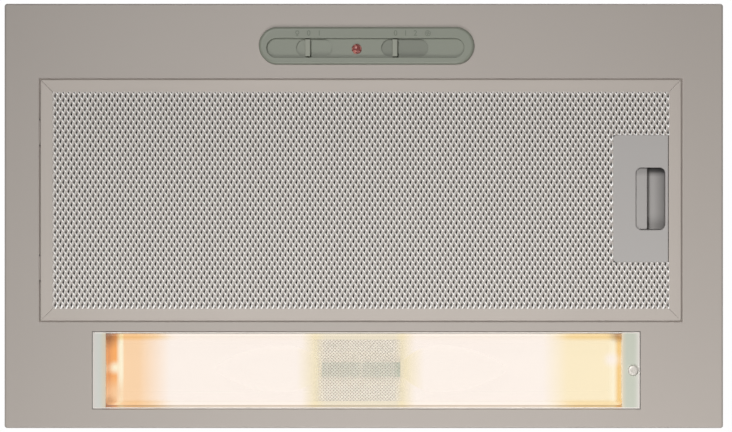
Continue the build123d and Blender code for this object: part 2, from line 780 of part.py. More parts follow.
# Lamp holders, bulb caps and bulb glasses, back to back along the tray
for side, name in ((-1, "left"), (1, "right")):
    root = bracket_t / 2
    mouth = root + holder_len
    with BuildPart() as lamp_holder:
        barrel(lamp_plane, holder_r, (side * root, side * mouth))
        strip_z = (lamp_z - holder_r - terminal_strip_drop, lamp_z)
        strip_x = (lamp_x + side * root, lamp_x + side * mouth)
        plate(strip_x, around(lamp_y, terminal_strip_w), strip_z)
        barrel(lamp_plane, cap_r + slack, (side * (mouth - socket_depth), side * mouth), Mode.SUBTRACT)
    lamp_holder.part.label = f"lamp_holder_{name}"
    export_step(lamp_holder.part, f"parts/lamp_holder_{name}.step")

    cap_end = mouth + cap_out
    with BuildPart() as bulb_cap:
        barrel(lamp_plane, cap_r, (side * (cap_end - cap_len), side * cap_end))
    bulb_cap.part.label = f"bulb_cap_{name}"
    export_step(bulb_cap.part, f"parts/bulb_cap_{name}.step")

    neck_x = lamp_x + side * cap_end
    with BuildPart() as bulb_glass:
        bulb_plane = Plane(origin=(neck_x, lamp_y, lamp_z), x_dir=(side, 0, 0), z_dir=(0, -side, 0))
        with BuildSketch(bulb_plane):
            with BuildLine():
                TangentArc((glass_bulge, glass_r), (0, glass_neck_r), tangent=(-1, 0))
                tip = CenterArc((tip_x, 0), glass_tip_r, 0, tip_turn)
                TangentArc((glass_bulge, glass_r), tip @ 1, tangent=(1, 0))
                Polyline((glass_len, 0), (0, 0), (0, glass_neck_r))
            make_face()
        revolve(axis=Axis((neck_x, lamp_y, lamp_z), (1, 0, 0)))
    bulb_glass.part.label = f"bulb_glass_{name}"
    export_step(bulb_glass.part, f"parts/bulb_glass_{name}.step")

# Control bezel: a stadium with a sunk channel and a slot for each slider
light_slot_at = (channel_at[0] + light_slot_x, channel_at[1])
fan_slot_at = (channel_at[0] + fan_slot_x, channel_at[1])
lens_at = (channel_at[0] + lens_x, channel_at[1] + lens_y)
with BuildPart() as control_bezel:
    stadium(bezel_at, bezel_w, bezel_h, (bezel_face, face_z))
    fillet(control_bezel.faces().sort_by(Axis.Z)[0].edges(), bezel_r)
    stadium(channel_at, channel_body_w, channel_body_h, (face_z, channel_floor[1]))
    stadium(channel_at, channel_w, channel_h, (bezel_face, channel_floor[0]), Mode.SUBTRACT)
    channel_rim = control_bezel.faces().sort_by(Axis.Z)[0].inner_wires()[0]
    fillet(channel_rim.edges(), channel_edge_r)
    stadium(light_slot_at, light_slot, slot_h, channel_floor, Mode.SUBTRACT)
    stadium(fan_slot_at, fan_slot, slot_h, channel_floor, Mode.SUBTRACT)
    drill([lens_at], lens_stem_r + slack / 2, channel_floor)
control_bezel.part.label = "control_bezel"
export_step(control_bezel.part, "parts/control_bezel.step")

# Pilot lens: a dome on the channel floor with a stem through it
with BuildPart() as pilot_lens:
    dome_base = channel_floor[0]
    barrel(upright(lens_at), lens_r, (dome_base - lens_h, dome_base))
    fillet(pilot_lens.faces().sort_by(Axis.Z)[0].edges(), lens_edge_r)
    barrel(upright(lens_at), lens_stem_r, (dome_base, dome_base + channel_wall + lens_stem_h))
pilot_lens.part.label = "pilot_lens"
export_step(pilot_lens.part, "parts/pilot_lens.step")

# Sliders and their switches: a fin through the slot, a cover strip behind it and a stem into the switch
slider_rows = (
    ("light", light_slot_at, light_slot, light_knob_x, light_travel),
    ("fan", fan_slot_at, fan_slot, fan_knob_x, fan_travel),
)
switch_z = (floor_z + switch_mouth_z, box_ceiling)
for name, slot_at, slot_w, knob_x, travel in slider_rows:
    knob = channel_at[0] + knob_x
    strip_x = (slot_at[0] - slot_w / 2 - travel - slider_lap, slot_at[0] + slot_w / 2 + slider_lap)
    with BuildPart() as slider:
        plate(strip_x, around(slot_at[1], slot_h + 2 * slider_lap), slider_z)
        plate(around(knob, fin_w), around(slot_at[1], slot_h - 2 * fin_play), fin_z)
        fillet(slider.faces().sort_by(Axis.Z)[0].edges(), fin_play)
        plate(around(knob, stem_w), around(slot_at[1], stem_d), (slider_z[1], slider_z[1] + stem_h))
    slider.part.label = f"{name}_slider"
    export_step(slider.part, f"parts/{name}_slider.step")

    with BuildPart() as switch:
        mid_x = knob + travel / 2
        slot_len = travel + stem_w + 2 * slack
        plate(around(mid_x, slot_len + 2 * switch_wall), around(slot_at[1], switch_d), switch_z)
        pocket_z = (switch_z[0], slider_z[1] + stem_h + slack)
        plate(around(mid_x, slot_len), around(slot_at[1], stem_d + 2 * slack), pocket_z, Mode.SUBTRACT)
    switch.part.label = f"{name}_switch"
    export_step(switch.part, f"parts/{name}_switch.step")

# Switch box: an open moulding that stands on the panel over the controls
with BuildPart() as switch_box:
    box_x = grow(around(channel_at[0], channel_body_w), box_margin)
    box_y = around(channel_at[1], box_d)
    plate(box_x, box_y, (floor_z, box_ceiling + moulding))
    fillet(switch_box.edges().filter_by(Axis.Z), box_corner_r)
    plate(grow(box_x, -moulding), grow(box_y, -moulding), (floor_z, box_ceiling), Mode.SUBTRACT)
switch_box.part.label = "switch_box"
export_step(switch_box.part, "parts/switch_box.step")


def scroll_outline(inset, top, x):
    """The scroll's side view on a plane across the axle, drawn inside its outer skin by the inset."""
    step = scroll_step / 2
    first = fan_reach + step - inset
    second = first + scroll_step
    third = second + scroll_step
    rear = scroll_rear - inset
    front = scroll_rear - throat_d + inset
    tongue = -step + sqrt(first**2 - (front + step) ** 2)
    slant = sqrt(0.5)
    with BuildSketch(fan_plane.offset(x)) as outline:
        with BuildLine():
            Polyline((step + third, step), (rear, top), (front, top), (front, tongue))
            ThreePointArc(
                (front, tongue),
                (-step - first * slant, -step + first * slant),
                (-step - first, -step),
            )
            ThreePointArc(
                (-step - first, -step),
                (step - second * slant, -step - second * slant),
                (step, -step - second),
            )
            ThreePointArc(
                (step, -step - second),
                (step + third * slant, step - third * slant),
                (step + third, step),
            )
        make_face()
    return outline.sketch


# Scroll halves: moulded shells that meet at a flanged seam and hang from the top plate
scroll_top = casing_top - fan_z
flange_z = (casing_top - moulding, casing_top)
for side, name in ((-1, "scroll_left"), (1, "scroll_right")):
    inner_w = scroll_half_w - moulding
    with BuildPart() as scroll:
        extrude(scroll_outline(0, scroll_top, 0), amount=side * scroll_half_w)
        extrude(scroll_outline(-seam_w, scroll_top, 0), amount=side * moulding)
        flange_x = (0, side * (scroll_half_w + scroll_flange))
        plate(flange_x, grow(throat_y, scroll_flange), flange_z)
        inside = scroll_outline(moulding, scroll_top + moulding, 0)
        extrude(inside, amount=side * inner_w, mode=Mode.SUBTRACT)
        barrel(fan_plane, inlet_r, (side * inner_w, side * scroll_half_w), Mode.SUBTRACT)
        drill(scroll_screw_points, screw_r + screw_gap, flange_z)
    scroll.part.label = name
    export_step(scroll.part, f"parts/{name}.step")

with BuildPart() as scroll_screws:
    screws(scroll_screw_points, plate_top)
scroll_screws.part.label = "scroll_screws"
export_step(scroll_screws.part, "parts/scroll_screws.step")

# Impeller: forward-curved blades between two rings, carried by a disc on the shaft
blade_in = impeller_r - blade_depth
with BuildPart() as impeller:
    with BuildSketch(fan_plane.offset(-impeller_w / 2)):
        with PolarLocations(0, blade_count):
            with BuildLine():
                mid_r = impeller_r - blade_depth / 2
                blade_tip = (impeller_r - slack, blade_lean)
                inner_arc = ThreePointArc((blade_in, 0), (mid_r, blade_bow), blade_tip)
                outer_arc = ThreePointArc(
                    (blade_in, blade_t),
                    (mid_r, blade_bow + blade_t),
                    (impeller_r - slack, blade_lean + blade_t),
                )
                Line(inner_arc @ 0, outer_arc @ 0)
                Line(inner_arc @ 1, outer_arc @ 1)
            make_face()
    extrude(amount=impeller_w)
    for ring_x in (-impeller_w / 2, impeller_w / 2 - ring_t):
        with BuildSketch(fan_plane.offset(ring_x)):
            Circle(impeller_r)
            Circle(blade_in + slack, mode=Mode.SUBTRACT)
        extrude(amount=ring_t)
    barrel(fan_plane, blade_in + blade_depth / 2, (hub_disc_x, hub_disc_x + hub_disc_t))
    barrel(fan_plane, hub_r, (hub_disc_x, hub_disc_x + hub_len))
    barrel(fan_plane, shaft_r + set_gap, (hub_disc_x, hub_disc_x + hub_len), Mode.SUBTRACT)
impeller.part.label = "impeller"
export_step(impeller.part, "parts/impeller.step")

# Motor, inside the left half of the impeller: caps, stack, windings, bearings, rotor and shaft
cap_out_x = -scroll_half_w
stack_x = (cap_out_x + cap_depth, cap_out_x + cap_depth + stack_len)
cap_in_x = stack_x[1] + cap_depth
with BuildPart() as motor_stator:
    barrel(fan_plane, motor_r, stack_x)
    barrel(fan_plane, stator_bore, stack_x, Mode.SUBTRACT)
motor_stator.part.label = "motor_stator"
export_step(motor_stator.part, "parts/motor_stator.step")

with BuildPart() as motor_windings:
    for start, way in ((stack_x[0], -1), (stack_x[1], 1)):
        ring_x = (start, start + way * winding_len)
        barrel(fan_plane, winding_r, ring_x)
        barrel(fan_plane, stator_bore + air_gap, ring_x, Mode.SUBTRACT)
motor_windings.part.label = "motor_windings"
export_step(motor_windings.part, "parts/motor_windings.step")

cap_rows = (
    ("motor_cap_outer", cap_out_x, stack_x[0], 1),
    ("motor_cap_inner", cap_in_x, stack_x[1], -1),
)
for name, closed_x, open_x, way in cap_rows:
    with BuildPart() as motor_cap:
        barrel(fan_plane, motor_r, (closed_x, open_x))
        rim = motor_cap.edges().filter_by(GeomType.CIRCLE).sort_by(Axis.X)
        fillet(rim[0] if way > 0 else rim[-1], cap_edge_r)
        barrel(fan_plane, motor_r - cap_wall, (closed_x + way * cap_wall, open_x), Mode.SUBTRACT)
        seat_x = (closed_x + way * cap_wall, closed_x + way * (cap_wall + bearing_w))
        barrel(fan_plane, bearing_r + cap_wall, seat_x)
        barrel(fan_plane, bearing_r, seat_x, Mode.SUBTRACT)
        barrel(fan_plane, shaft_r + slack, (closed_x, closed_x + way * cap_wall), Mode.SUBTRACT)
    motor_cap.part.label = name
    export_step(motor_cap.part, f"parts/{name}.step")

with BuildPart() as motor_bearings:
    for name, closed_x, open_x, way in cap_rows:
        seat_x = (closed_x + way * cap_wall, closed_x + way * (cap_wall + bearing_w))
        barrel(fan_plane, bearing_r - set_gap, seat_x)
        barrel(fan_plane, shaft_r + run_gap, seat_x, Mode.SUBTRACT)
motor_bearings.part.label = "motor_bearings"
export_step(motor_bearings.part, "parts/motor_bearings.step")

with BuildPart() as motor_rotor:
    barrel(fan_plane, stator_bore - air_gap, stack_x)
    barrel(fan_plane, shaft_r + set_gap, stack_x, Mode.SUBTRACT)
motor_rotor.part.label = "motor_rotor"
export_step(motor_rotor.part, "parts/motor_rotor.step")

with BuildPart() as motor_shaft:
    barrel(fan_plane, shaft_r, (cap_out_x, hub_disc_x + hub_len))
motor_shaft.part.label = "motor_shaft"
export_step(motor_shaft.part, "parts/motor_shaft.step")

# Motor bracket: a ring round the left inlet with arms to the motor's outer cap
with BuildPart() as motor_bracket:
    with BuildSketch(fan_plane.offset(cap_out_x - bracket_plate_t)):
        Circle(inlet_r + bracket_ring_w)
        Circle(inlet_r, mode=Mode.SUBTRACT)
        Circle(bracket_hub_r)
        with PolarLocations(inlet_r / 2, bracket_arms, start_angle=bracket_arm_turn):
            Rectangle(inlet_r + bracket_ring_w / 2, bracket_arm_w)
        Circle(shaft_r + 2 * slack, mode=Mode.SUBTRACT)
    extrude(amount=bracket_plate_t)
motor_bracket.part.label = "motor_bracket"
export_step(motor_bracket.part, "parts/motor_bracket.step")

# Capacitor in its strap under the top plate
capacitor_at = (casing_x[0] + capacitor_inset_x, casing_y[1] - capacitor_inset_y)
capacitor_z = casing_top - strap_t - capacitor_r
capacitor_plane = Plane(origin=(*capacitor_at, capacitor_z), x_dir=(0, 1, 0), z_dir=(1, 0, 0))
with BuildPart() as capacitor:
    barrel(capacitor_plane, capacitor_r, around(0, capacitor_len))
    fillet(capacitor.edges().filter_by(GeomType.CIRCLE), strap_t)
capacitor.part.label = "capacitor"
export_step(capacitor.part, "parts/capacitor.step")

with BuildPart() as capacitor_clip:
    barrel(capacitor_plane, capacitor_r + strap_t, around(0, strap_w))
    strap_x = around(capacitor_at[0], strap_w)
    plate(strap_x, around(capacitor_at[1], strap_foot), (casing_top - strap_t, casing_top))
    barrel(capacitor_plane, capacitor_r, around(0, strap_w), Mode.SUBTRACT)
capacitor_clip.part.label = "capacitor_clip"
export_step(capacitor_clip.part, "parts/capacitor_clip.step")

# Terminal box, its cover and the cable gland
terminal_z = (casing_top - terminal_h, casing_top)
with BuildPart() as terminal_box:
    plate(terminal_x, terminal_y, terminal_z)
    fillet(terminal_box.edges().filter_by(Axis.Z), box_corner_r)
    inner_z = (terminal_z[0], terminal_z[1] - moulding)
    plate(grow(terminal_x, -moulding), grow(terminal_y, -moulding), inner_z, Mode.SUBTRACT)
    drill([gland_at], gland_thread_r + slack, (inner_z[1], terminal_z[1]))
terminal_box.part.label = "terminal_box"
export_step(terminal_box.part, "parts/terminal_box.step")

with BuildPart() as terminal_cover:
    plate(terminal_x, terminal_y, (terminal_z[0] - moulding, terminal_z[0]))
    fillet(terminal_cover.edges().filter_by(Axis.Z), box_corner_r)
    lip_x = grow(terminal_x, -moulding - slack)
    lip_y = grow(terminal_y, -moulding - slack)
    lip_z = (terminal_z[0], terminal_z[0] + 2 * moulding)
    plate(lip_x, lip_y, lip_z)
    plate(grow(lip_x, -moulding), grow(lip_y, -moulding), lip_z, Mode.SUBTRACT)
terminal_cover.part.label = "terminal_cover"
export_step(terminal_cover.part, "parts/terminal_cover.step")

with BuildPart() as cable_gland:
    gland_plane = upright(gland_at)
    collar_z = plate_top + gland_collar_h
    gland_top = collar_z + gland_cap_h
    with BuildSketch(Plane.XY.offset(plate_top)):
        with Locations(gland_at):
            RegularPolygon(gland_collar_r, 6)
    extrude(amount=gland_collar_h)
    barrel(gland_plane, gland_cap_r, (collar_z, gland_top))
    fillet(cable_gland.faces().sort_by(Axis.Z)[-1].edges(), gland_edge_r)
    barrel(gland_plane, gland_thread_r, (casing_top - gland_tail, plate_top))
    barrel(gland_plane, gland_bore, (casing_top - gland_tail, gland_top), Mode.SUBTRACT)
cable_gland.part.label = "cable_gland"
export_step(cable_gland.part, "parts/cable_gland.step")

# Outlet collar: a flanged ring on the top plate for the wide duct
collar_z = plate_top + collar_flange_t
cone_z = collar_z + collar_h
spigot_z = cone_z + cone_h
spigot_top = spigot_z + spigot_h
pin_z = spigot_z + flap_pin_up
bore_r = spigot_r - moulding
with BuildPart() as outlet_collar:
    with BuildSketch(Plane.XZ):
        with BuildLine():
            Polyline(
                (collar_r - moulding, plate_top),
                (collar_flange_r, plate_top),
                (collar_flange_r, collar_z),
                (collar_r, collar_z),
                (collar_r, cone_z),
                (collar_r - moulding, cone_z),
                close=True,
            )
        make_face()
    revolve(axis=Axis.Z)
    with BuildSketch(Plane.XY.offset(plate_top)):
        with PolarLocations(collar_screw_r, collar_screw_count, start_angle=collar_screw_turn):
            Circle(screw_r + screw_gap)
    extrude(amount=collar_flange_t, mode=Mode.SUBTRACT)
outlet_collar.part.label = "outlet_collar"
export_step(outlet_collar.part, "parts/outlet_collar.step")

# Duct reducer: its skirt plugs into the collar, and a cone leads to the narrow spigot that holds the flaps
reducer_r = collar_r - moulding - reducer_play
stop_z = (pin_z - knuckle_r - stop_t, pin_z - knuckle_r)
with BuildPart() as duct_reducer:
    with BuildSketch(Plane.XZ):
        with BuildLine():
            Polyline(
                (reducer_r - moulding, cone_z - reducer_lap),
                (reducer_r, cone_z - reducer_lap),
                (reducer_r, cone_z),
                (collar_r, cone_z),
                (spigot_r, spigot_z),
                (spigot_r, spigot_top),
                (bore_r, spigot_top),
                (bore_r, stop_z[1]),
                (bore_r - stop_w, stop_z[1]),
                (bore_r - stop_w, stop_z[0]),
                (bore_r, stop_z[0]),
                (reducer_r - moulding, cone_z - moulding),
                close=True,
            )
        make_face()
    revolve(axis=Axis.Z)
    with BuildSketch(Plane.YZ.offset(-spigot_r)):
        with Locations((0, pin_z)):
            Circle(flap_pin_r + set_gap)
    extrude(amount=2 * spigot_r, mode=Mode.SUBTRACT)
duct_reducer.part.label = "duct_reducer"
export_step(duct_reducer.part, "parts/duct_reducer.step")

with BuildPart() as collar_screws:
    for spot in PolarLocations(collar_screw_r, collar_screw_count, start_angle=collar_screw_turn):
        screws([(spot.position.X, spot.position.Y)], collar_z)
collar_screws.part.label = "collar_screws"
export_step(collar_screws.part, "parts/collar_screws.step")

# Flap pin and the two half-round flaps that hang on it with knuckles in turn
pin_plane = Plane(origin=(0, 0, pin_z), x_dir=(0, 1, 0), z_dir=(1, 0, 0))
with BuildPart() as flap_pin:
    barrel(pin_plane, flap_pin_r, grow((-spigot_r, spigot_r), -slack))
flap_pin.part.label = "flap_pin"
export_step(flap_pin.part, "parts/flap_pin.step")

flap_r = bore_r - flap_gap
flap_z = around(pin_z, flap_t)
hinge_edge = knuckle_r + flap_edge_gap
flap_rows = (
    ("flap_front", -1, (-2, 0, 2)),
    ("flap_rear", 1, (-1, 1)),
)
for name, way, places in flap_rows:
    with BuildPart() as flap:
        barrel(Plane.XY, flap_r, flap_z)
        spare_y = (-way * flap_r, way * hinge_edge)
        plate((-flap_r, flap_r), spare_y, flap_z, Mode.SUBTRACT)
        for place in places:
            knuckle_x = around(place * knuckle_w, knuckle_w - knuckle_gap)
            plate(knuckle_x, (0, way * (hinge_edge + flap_t)), flap_z)
            barrel(pin_plane, knuckle_r, knuckle_x)
            barrel(pin_plane, flap_pin_r + run_gap, knuckle_x, Mode.SUBTRACT)
    flap.part.label = name
    export_step(flap.part, f"parts/{name}.step")
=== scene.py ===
# %% [markdown]
# # A built-in kitchen hood, seen from below
#
# This kind of hood is let into the floor of a wall cabinet, so the side that people see is its
# underside: a painted panel with a grease filter, a lamp behind a clear cover and a row of slide
# switches. The sizes and the moving joints come from the CAD frame. Here the pieces get their finish,
# and the few that need finer shapes than the frame has are modelled again.

# %% Load the hood and note its size
from math import degrees, pi, radians
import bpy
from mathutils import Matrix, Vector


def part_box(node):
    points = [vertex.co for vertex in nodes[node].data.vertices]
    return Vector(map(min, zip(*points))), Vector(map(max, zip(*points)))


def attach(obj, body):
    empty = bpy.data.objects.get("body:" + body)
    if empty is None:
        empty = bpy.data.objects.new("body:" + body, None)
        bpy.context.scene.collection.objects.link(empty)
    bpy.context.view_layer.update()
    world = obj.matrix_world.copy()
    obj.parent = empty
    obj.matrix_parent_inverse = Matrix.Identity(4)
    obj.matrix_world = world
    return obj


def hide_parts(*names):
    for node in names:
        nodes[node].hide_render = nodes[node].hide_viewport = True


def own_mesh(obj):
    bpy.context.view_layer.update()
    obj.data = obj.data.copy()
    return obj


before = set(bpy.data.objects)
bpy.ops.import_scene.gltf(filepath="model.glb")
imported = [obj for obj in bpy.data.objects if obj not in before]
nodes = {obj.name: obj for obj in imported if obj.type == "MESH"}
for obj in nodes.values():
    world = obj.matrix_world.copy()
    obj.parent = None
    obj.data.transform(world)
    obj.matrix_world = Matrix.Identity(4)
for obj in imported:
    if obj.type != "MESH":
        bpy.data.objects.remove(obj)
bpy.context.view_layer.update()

from types import SimpleNamespace

import bmesh
import bpy
from mathutils import Matrix, Vector

MM = 0.001

# %% [markdown]
# ## Looking up at it
#
# The photograph is taken square to the panel from far below. A long lens at a good distance gives the
# same flat perspective. A short lens close by would also get the whole panel in, but it would show the
# walls of every recess. The camera lies on its back: it looks along +Z, and the front edge of the hood
# is at the top of the picture.

# %% Camera
IMAGE_W = 732
PANEL_PX = 718.8
PANEL_CENTRE_PX = (363.8, 215.9)
IMAGE_CENTRE_PX = (366.0, 216.0)
CAMERA_DROP = 2.5
SENSOR_W = 36.0
FAR_CLIP = 50.0

panel_low, panel_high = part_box("face_panel")
panel_w = panel_high.x - panel_low.x
metres_per_px = panel_w / PANEL_PX
view_w = IMAGE_W * metres_per_px

camera_data = bpy.data.cameras.new("low_camera")
camera_data.sensor_width = SENSOR_W
camera_data.lens = SENSOR_W * CAMERA_DROP / view_w
camera_data.clip_end = FAR_CLIP
camera = bpy.data.objects.new("low_camera", camera_data)
camera.location = (
    (IMAGE_CENTRE_PX[0] - PANEL_CENTRE_PX[0]) * metres_per_px,
    (IMAGE_CENTRE_PX[1] - PANEL_CENTRE_PX[1]) * metres_per_px,
    panel_low.z - CAMERA_DROP,
)
camera.rotation_euler = (pi, 0, 0)
bpy.context.scene.collection.objects.link(camera)
bpy.context.scene.camera = camera
bpy.context.scene.view_settings.view_transform = "Standard"
print("lens", round(camera_data.lens, 1), "mm, view", round(view_w / MM, 1), "mm wide")

# %% [markdown]
# ## Soft light and a pale room
#
# The light is broad and soft. A sky alone could give that, but then no side of a recess would be in
# shade. So the main lamp hangs below, a little to the front and to the left: the walls of the recesses
# that face away from it are darker, and the sliders throw a short shadow. It is
# aimed past the rear right corner with a narrow spread, so the panel grows lighter towards there as it
# does in the photograph. A second lamp lifts the rear half, and one above lights the casing for views
# from there. The sky is bright above the hood and dim below it, so the panel has its light from the
# lamps. Where the camera, a reflection or a clear piece shows the sky, it looks white.

# %% World and lamps
SKY_LOW = 0.05
SKY_HIGH = 0.7
HORIZON = 0.1
FRONT_POWER = 3.55
REAR_POWER = 6.6
UPPER_POWER = 18.0


def make_world():
    """A sky, dim below, that is white to the camera, to reflections and through clear pieces."""
    world = bpy.data.worlds.new("pale_room")
    world.use_nodes = True
    tree = world.node_tree
    sky = tree.nodes["Background"]
    path = tree.nodes.new("ShaderNodeLightPath")
    seen = path.outputs["Is Camera Ray"]
    for ray in ("Is Glossy Ray", "Is Transmission Ray"):
        either = tree.nodes.new("ShaderNodeMath")
        either.operation = "MAXIMUM"
        tree.links.new(seen, either.inputs[0])
        tree.links.new(path.outputs[ray], either.inputs[1])
        seen = either.outputs[0]
    direction = tree.nodes.new("ShaderNodeTexCoord")
    split = tree.nodes.new("ShaderNodeSeparateXYZ")
    tree.links.new(direction.outputs["Generated"], split.inputs["Vector"])
    height = tree.nodes.new("ShaderNodeMapRange")
    limits = {"From Min": -HORIZON, "From Max": HORIZON, "To Min": SKY_LOW, "To Max": SKY_HIGH}
    for entry, value in limits.items():
        height.inputs[entry].default_value = value
    tree.links.new(split.outputs["Z"], height.inputs["Value"])
    level = tree.nodes.new("ShaderNodeMapRange")
    level.inputs["To Max"].default_value = 1.0
    tree.links.new(height.outputs["Result"], level.inputs["To Min"])
    tree.links.new(seen, level.inputs["Value"])
    tree.links.new(level.outputs["Result"], sky.inputs["Strength"])
    sky.inputs["Color"].default_value = (1, 1, 1, 1)
    bpy.context.scene.world = world


def area_lamp(name, place, aim, size, power, spread=180):
    """A square soft lamp that faces a point. A narrow spread makes it fall off round its aim."""
    data = bpy.data.lights.new(name, "AREA")
    data.size = size
    data.energy = power
    data.spread = radians(spread)
    lamp = bpy.data.objects.new(name, data)
    lamp.location = place
    lamp.rotation_euler = (Vector(aim) - Vector(place)).to_track_quat("-Z", "Y").to_euler()
    bpy.context.scene.collection.objects.link(lamp)


make_world()
area_lamp(
    "front_lamp", place=(-0.55, -0.9, -2.6), aim=(0.3, 0.5, 0), size=0.4, power=FRONT_POWER, spread=42
)
area_lamp("rear_lamp", place=(0.0, 0.75, -0.95), aim=(0, 0.2, 0), size=0.6, power=REAR_POWER)
area_lamp("upper_lamp", place=(0.8, -1.4, 1.8), aim=(0, 0, 0.1), size=1.2, power=UPPER_POWER)

# %% [markdown]
# ## Tools for finishes
#
# Every finish is a small node tree. Nearly all of them start the same way: a colour that drifts a
# little over the surface, and a fine grain that moves the gloss and the bump. One flat colour would be
# simpler, but no real surface is that even. So one function makes that start, and the special finishes
# add their own nodes to it. Colours are written as they look on a screen, from 0 to 255, and turned
# into the linear values that the shader wants.

# %% Colours and nodes
def shade(red, green, blue):
    """Linear colour values from screen values."""
    linear = []
    for value in (red, green, blue):
        level = value / 255
        linear.append(level / 12.92 if level <= 0.04045 else ((level + 0.055) / 1.055) ** 2.4)
    return tuple(linear)


def scaled(colour, factor):
    """A colour made lighter or darker."""
    return tuple(min(1.0, channel * factor) for channel in colour)


def add(material, kind, values=None, **settings):
    """Adds a shader node, with its input values and its settings."""
    node = material.node_tree.nodes.new("ShaderNode" + kind)
    for key, value in settings.items():
        setattr(node, key, value)
    for key, value in (values or {}).items():
        node.inputs[key].default_value = value
    return node


def wire(material, source, target):
    """Links an output socket to an input, or sets the input to a plain number or colour."""
    if isinstance(source, bpy.types.NodeSocket):
        material.node_tree.links.new(source, target)
    else:
        target.default_value = (*source, 1) if target.type == "RGBA" else source


def shader_of(material):
    return material.node_tree.nodes["Principled BSDF"]


def blend_colours(material, factor, first, second, mode="MIX"):
    """A colour socket that goes from one colour to another as the factor goes from 0 to 1."""
    mix = add(material, "Mix", data_type="RGBA", blend_type=mode)
    ends = {socket.identifier: socket for socket in mix.inputs}
    wire(material, first, ends["A_Color"])
    wire(material, second, ends["B_Color"])
    wire(material, factor, ends["Factor_Float"])
    return next(socket for socket in mix.outputs if socket.identifier == "Result_Color")


print("mid grey as linear values", [round(channel, 3) for channel in shade(128, 128, 128)])

# %% The usual finish
GLOSS_DRIFT = 0.06
BUMP_STRENGTH = 0.35


def finish(name, colour, rough, metal=0.0, drift=0.05, patch=9.0, grain=1500.0, bump=0.02, stretch=(1, 1, 1)):
    """A finish with a drifting colour and a fine grain. Stretch makes the grain long along an axis."""
    material = bpy.data.materials.new(name)
    material.use_nodes = True
    shader = shader_of(material)
    shader.inputs["Metallic"].default_value = metal
    place = add(material, "TexCoord")
    drawn = add(material, "Mapping", {"Scale": stretch})
    wire(material, place.outputs["Object"], drawn.inputs["Vector"])
    patches = add(material, "TexNoise", {"Scale": patch, "Detail": 3.0})
    wire(material, place.outputs["Object"], patches.inputs["Vector"])
    fine = add(material, "TexNoise", {"Scale": grain, "Detail": 2.0})
    wire(material, drawn.outputs["Vector"], fine.inputs["Vector"])
    dark, pale = scaled(colour, 1 - drift), scaled(colour, 1 + drift)
    tint = blend_colours(material, patches.outputs["Fac"], dark, pale)
    wire(material, tint, shader.inputs["Base Color"])
    gloss = add(material, "MapRange", {"To Min": rough - GLOSS_DRIFT, "To Max": rough + GLOSS_DRIFT})
    wire(material, fine.outputs["Fac"], gloss.inputs["Value"])
    wire(material, gloss.outputs["Result"], shader.inputs["Roughness"])
    relief = add(material, "Bump", {"Strength": BUMP_STRENGTH, "Distance": bump * MM})
    wire(material, fine.outputs["Fac"], relief.inputs["Height"])
    wire(material, relief.outputs["Normal"], shader.inputs["Normal"])
    return material


def dress(material, *names):
    """Gives CAD nodes a finish."""
    for name in names:
        mesh = nodes[name].data
        mesh.materials.clear()
        mesh.materials.append(material)


print("a finish's roughness drifts by", GLOSS_DRIFT, "each way")

# %% [markdown]
# ## The plain finishes
#
# The panel is sheet steel under a satin warm-grey paint. The casing is galvanised, with the frosty
# crystal patches that hot zinc leaves. They could come from an image, but a Voronoi pattern on object
# coordinates needs no file and runs on over every fold. The filter frame is brushed aluminium, whose
# grain is noise stretched along the rail. Mouldings are matt plastics with a fine spark-eroded grain.

# %% Paint, metals and plastics
PAINT_COLOUR = shade(172, 164, 157)
ALUMINIUM_COLOUR = shade(173, 165, 158)
BEZEL_COLOUR = shade(137, 141, 128)
MARK_COLOUR = shade(104, 110, 97)
FIN_COLOUR = shade(150, 153, 139)
HANDLE_COLOUR = shade(175, 171, 168)

panel_paint = finish("satin_panel_paint", PAINT_COLOUR, 0.45, metal=0.1, drift=0.012, bump=0.03)
rail_metal_x = finish(
    "brushed_rail_across", ALUMINIUM_COLOUR, 0.5, metal=0.3, grain=700, stretch=(0.02, 1, 1)
)
rail_metal_y = finish(
    "brushed_rail_along", ALUMINIUM_COLOUR, 0.5, metal=0.3, grain=700, stretch=(1, 0.02, 1)
)
# The filter's grey wool is painted near black: painted shade for the slits of the net in front of it.
wool_painted_dark = finish(
    "wool_dark_as_painted_shade", shade(13, 11, 10), 0.75, metal=0.2, drift=0.5, patch=350, grain=900, bump=0.4
)
handle_plastic = finish("handle_plastic", HANDLE_COLOUR, 0.5, drift=0.02, grain=2200, bump=0.04)
bezel_plastic = finish("bezel_plastic", BEZEL_COLOUR, 0.42, drift=0.02, grain=2200, bump=0.03)
black_plastic = finish("black_plastic", shade(42, 42, 45), 0.5, drift=0.08, grain=2000, bump=0.05)
grey_plastic = finish("scroll_plastic", shade(120, 122, 125), 0.48, drift=0.06, grain=1600, bump=0.06)
capacitor_plastic = finish("capacitor_plastic", shade(196, 206, 194), 0.4, drift=0.03)
bright_zinc = finish("bright_zinc", shade(196, 198, 202), 0.3, metal=0.95, drift=0.08, patch=60)
pale_nickel = finish("pale_nickel", shade(200, 195, 187), 0.45, metal=0.2, drift=0.03, patch=200)
spring_steel = finish("spring_steel", shade(140, 142, 148), 0.32, metal=0.95, drift=0.1, patch=80)
laminated_steel = finish(
    "laminated_steel", shade(120, 120, 124), 0.45, metal=0.8, grain=900, bump=0.1, stretch=(1, 0.05, 0.05)
)
copper_wire = finish("enamelled_copper", shade(176, 96, 58), 0.3, metal=0.8, drift=0.15, patch=200, bump=0.1)
cap_metal = finish("cast_aluminium", shade(172, 172, 170), 0.5, metal=0.8, drift=0.06, patch=120, bump=0.08)
print("materials so far", len(bpy.data.materials))

# %% Galvanised sheet
ZINC_DARK = shade(160, 165, 170)
ZINC_PALE = shade(194, 198, 201)
ZINC_GLOSS = {"To Min": 0.4, "To Max": 0.6}
SPANGLE_SCALE = 95.0


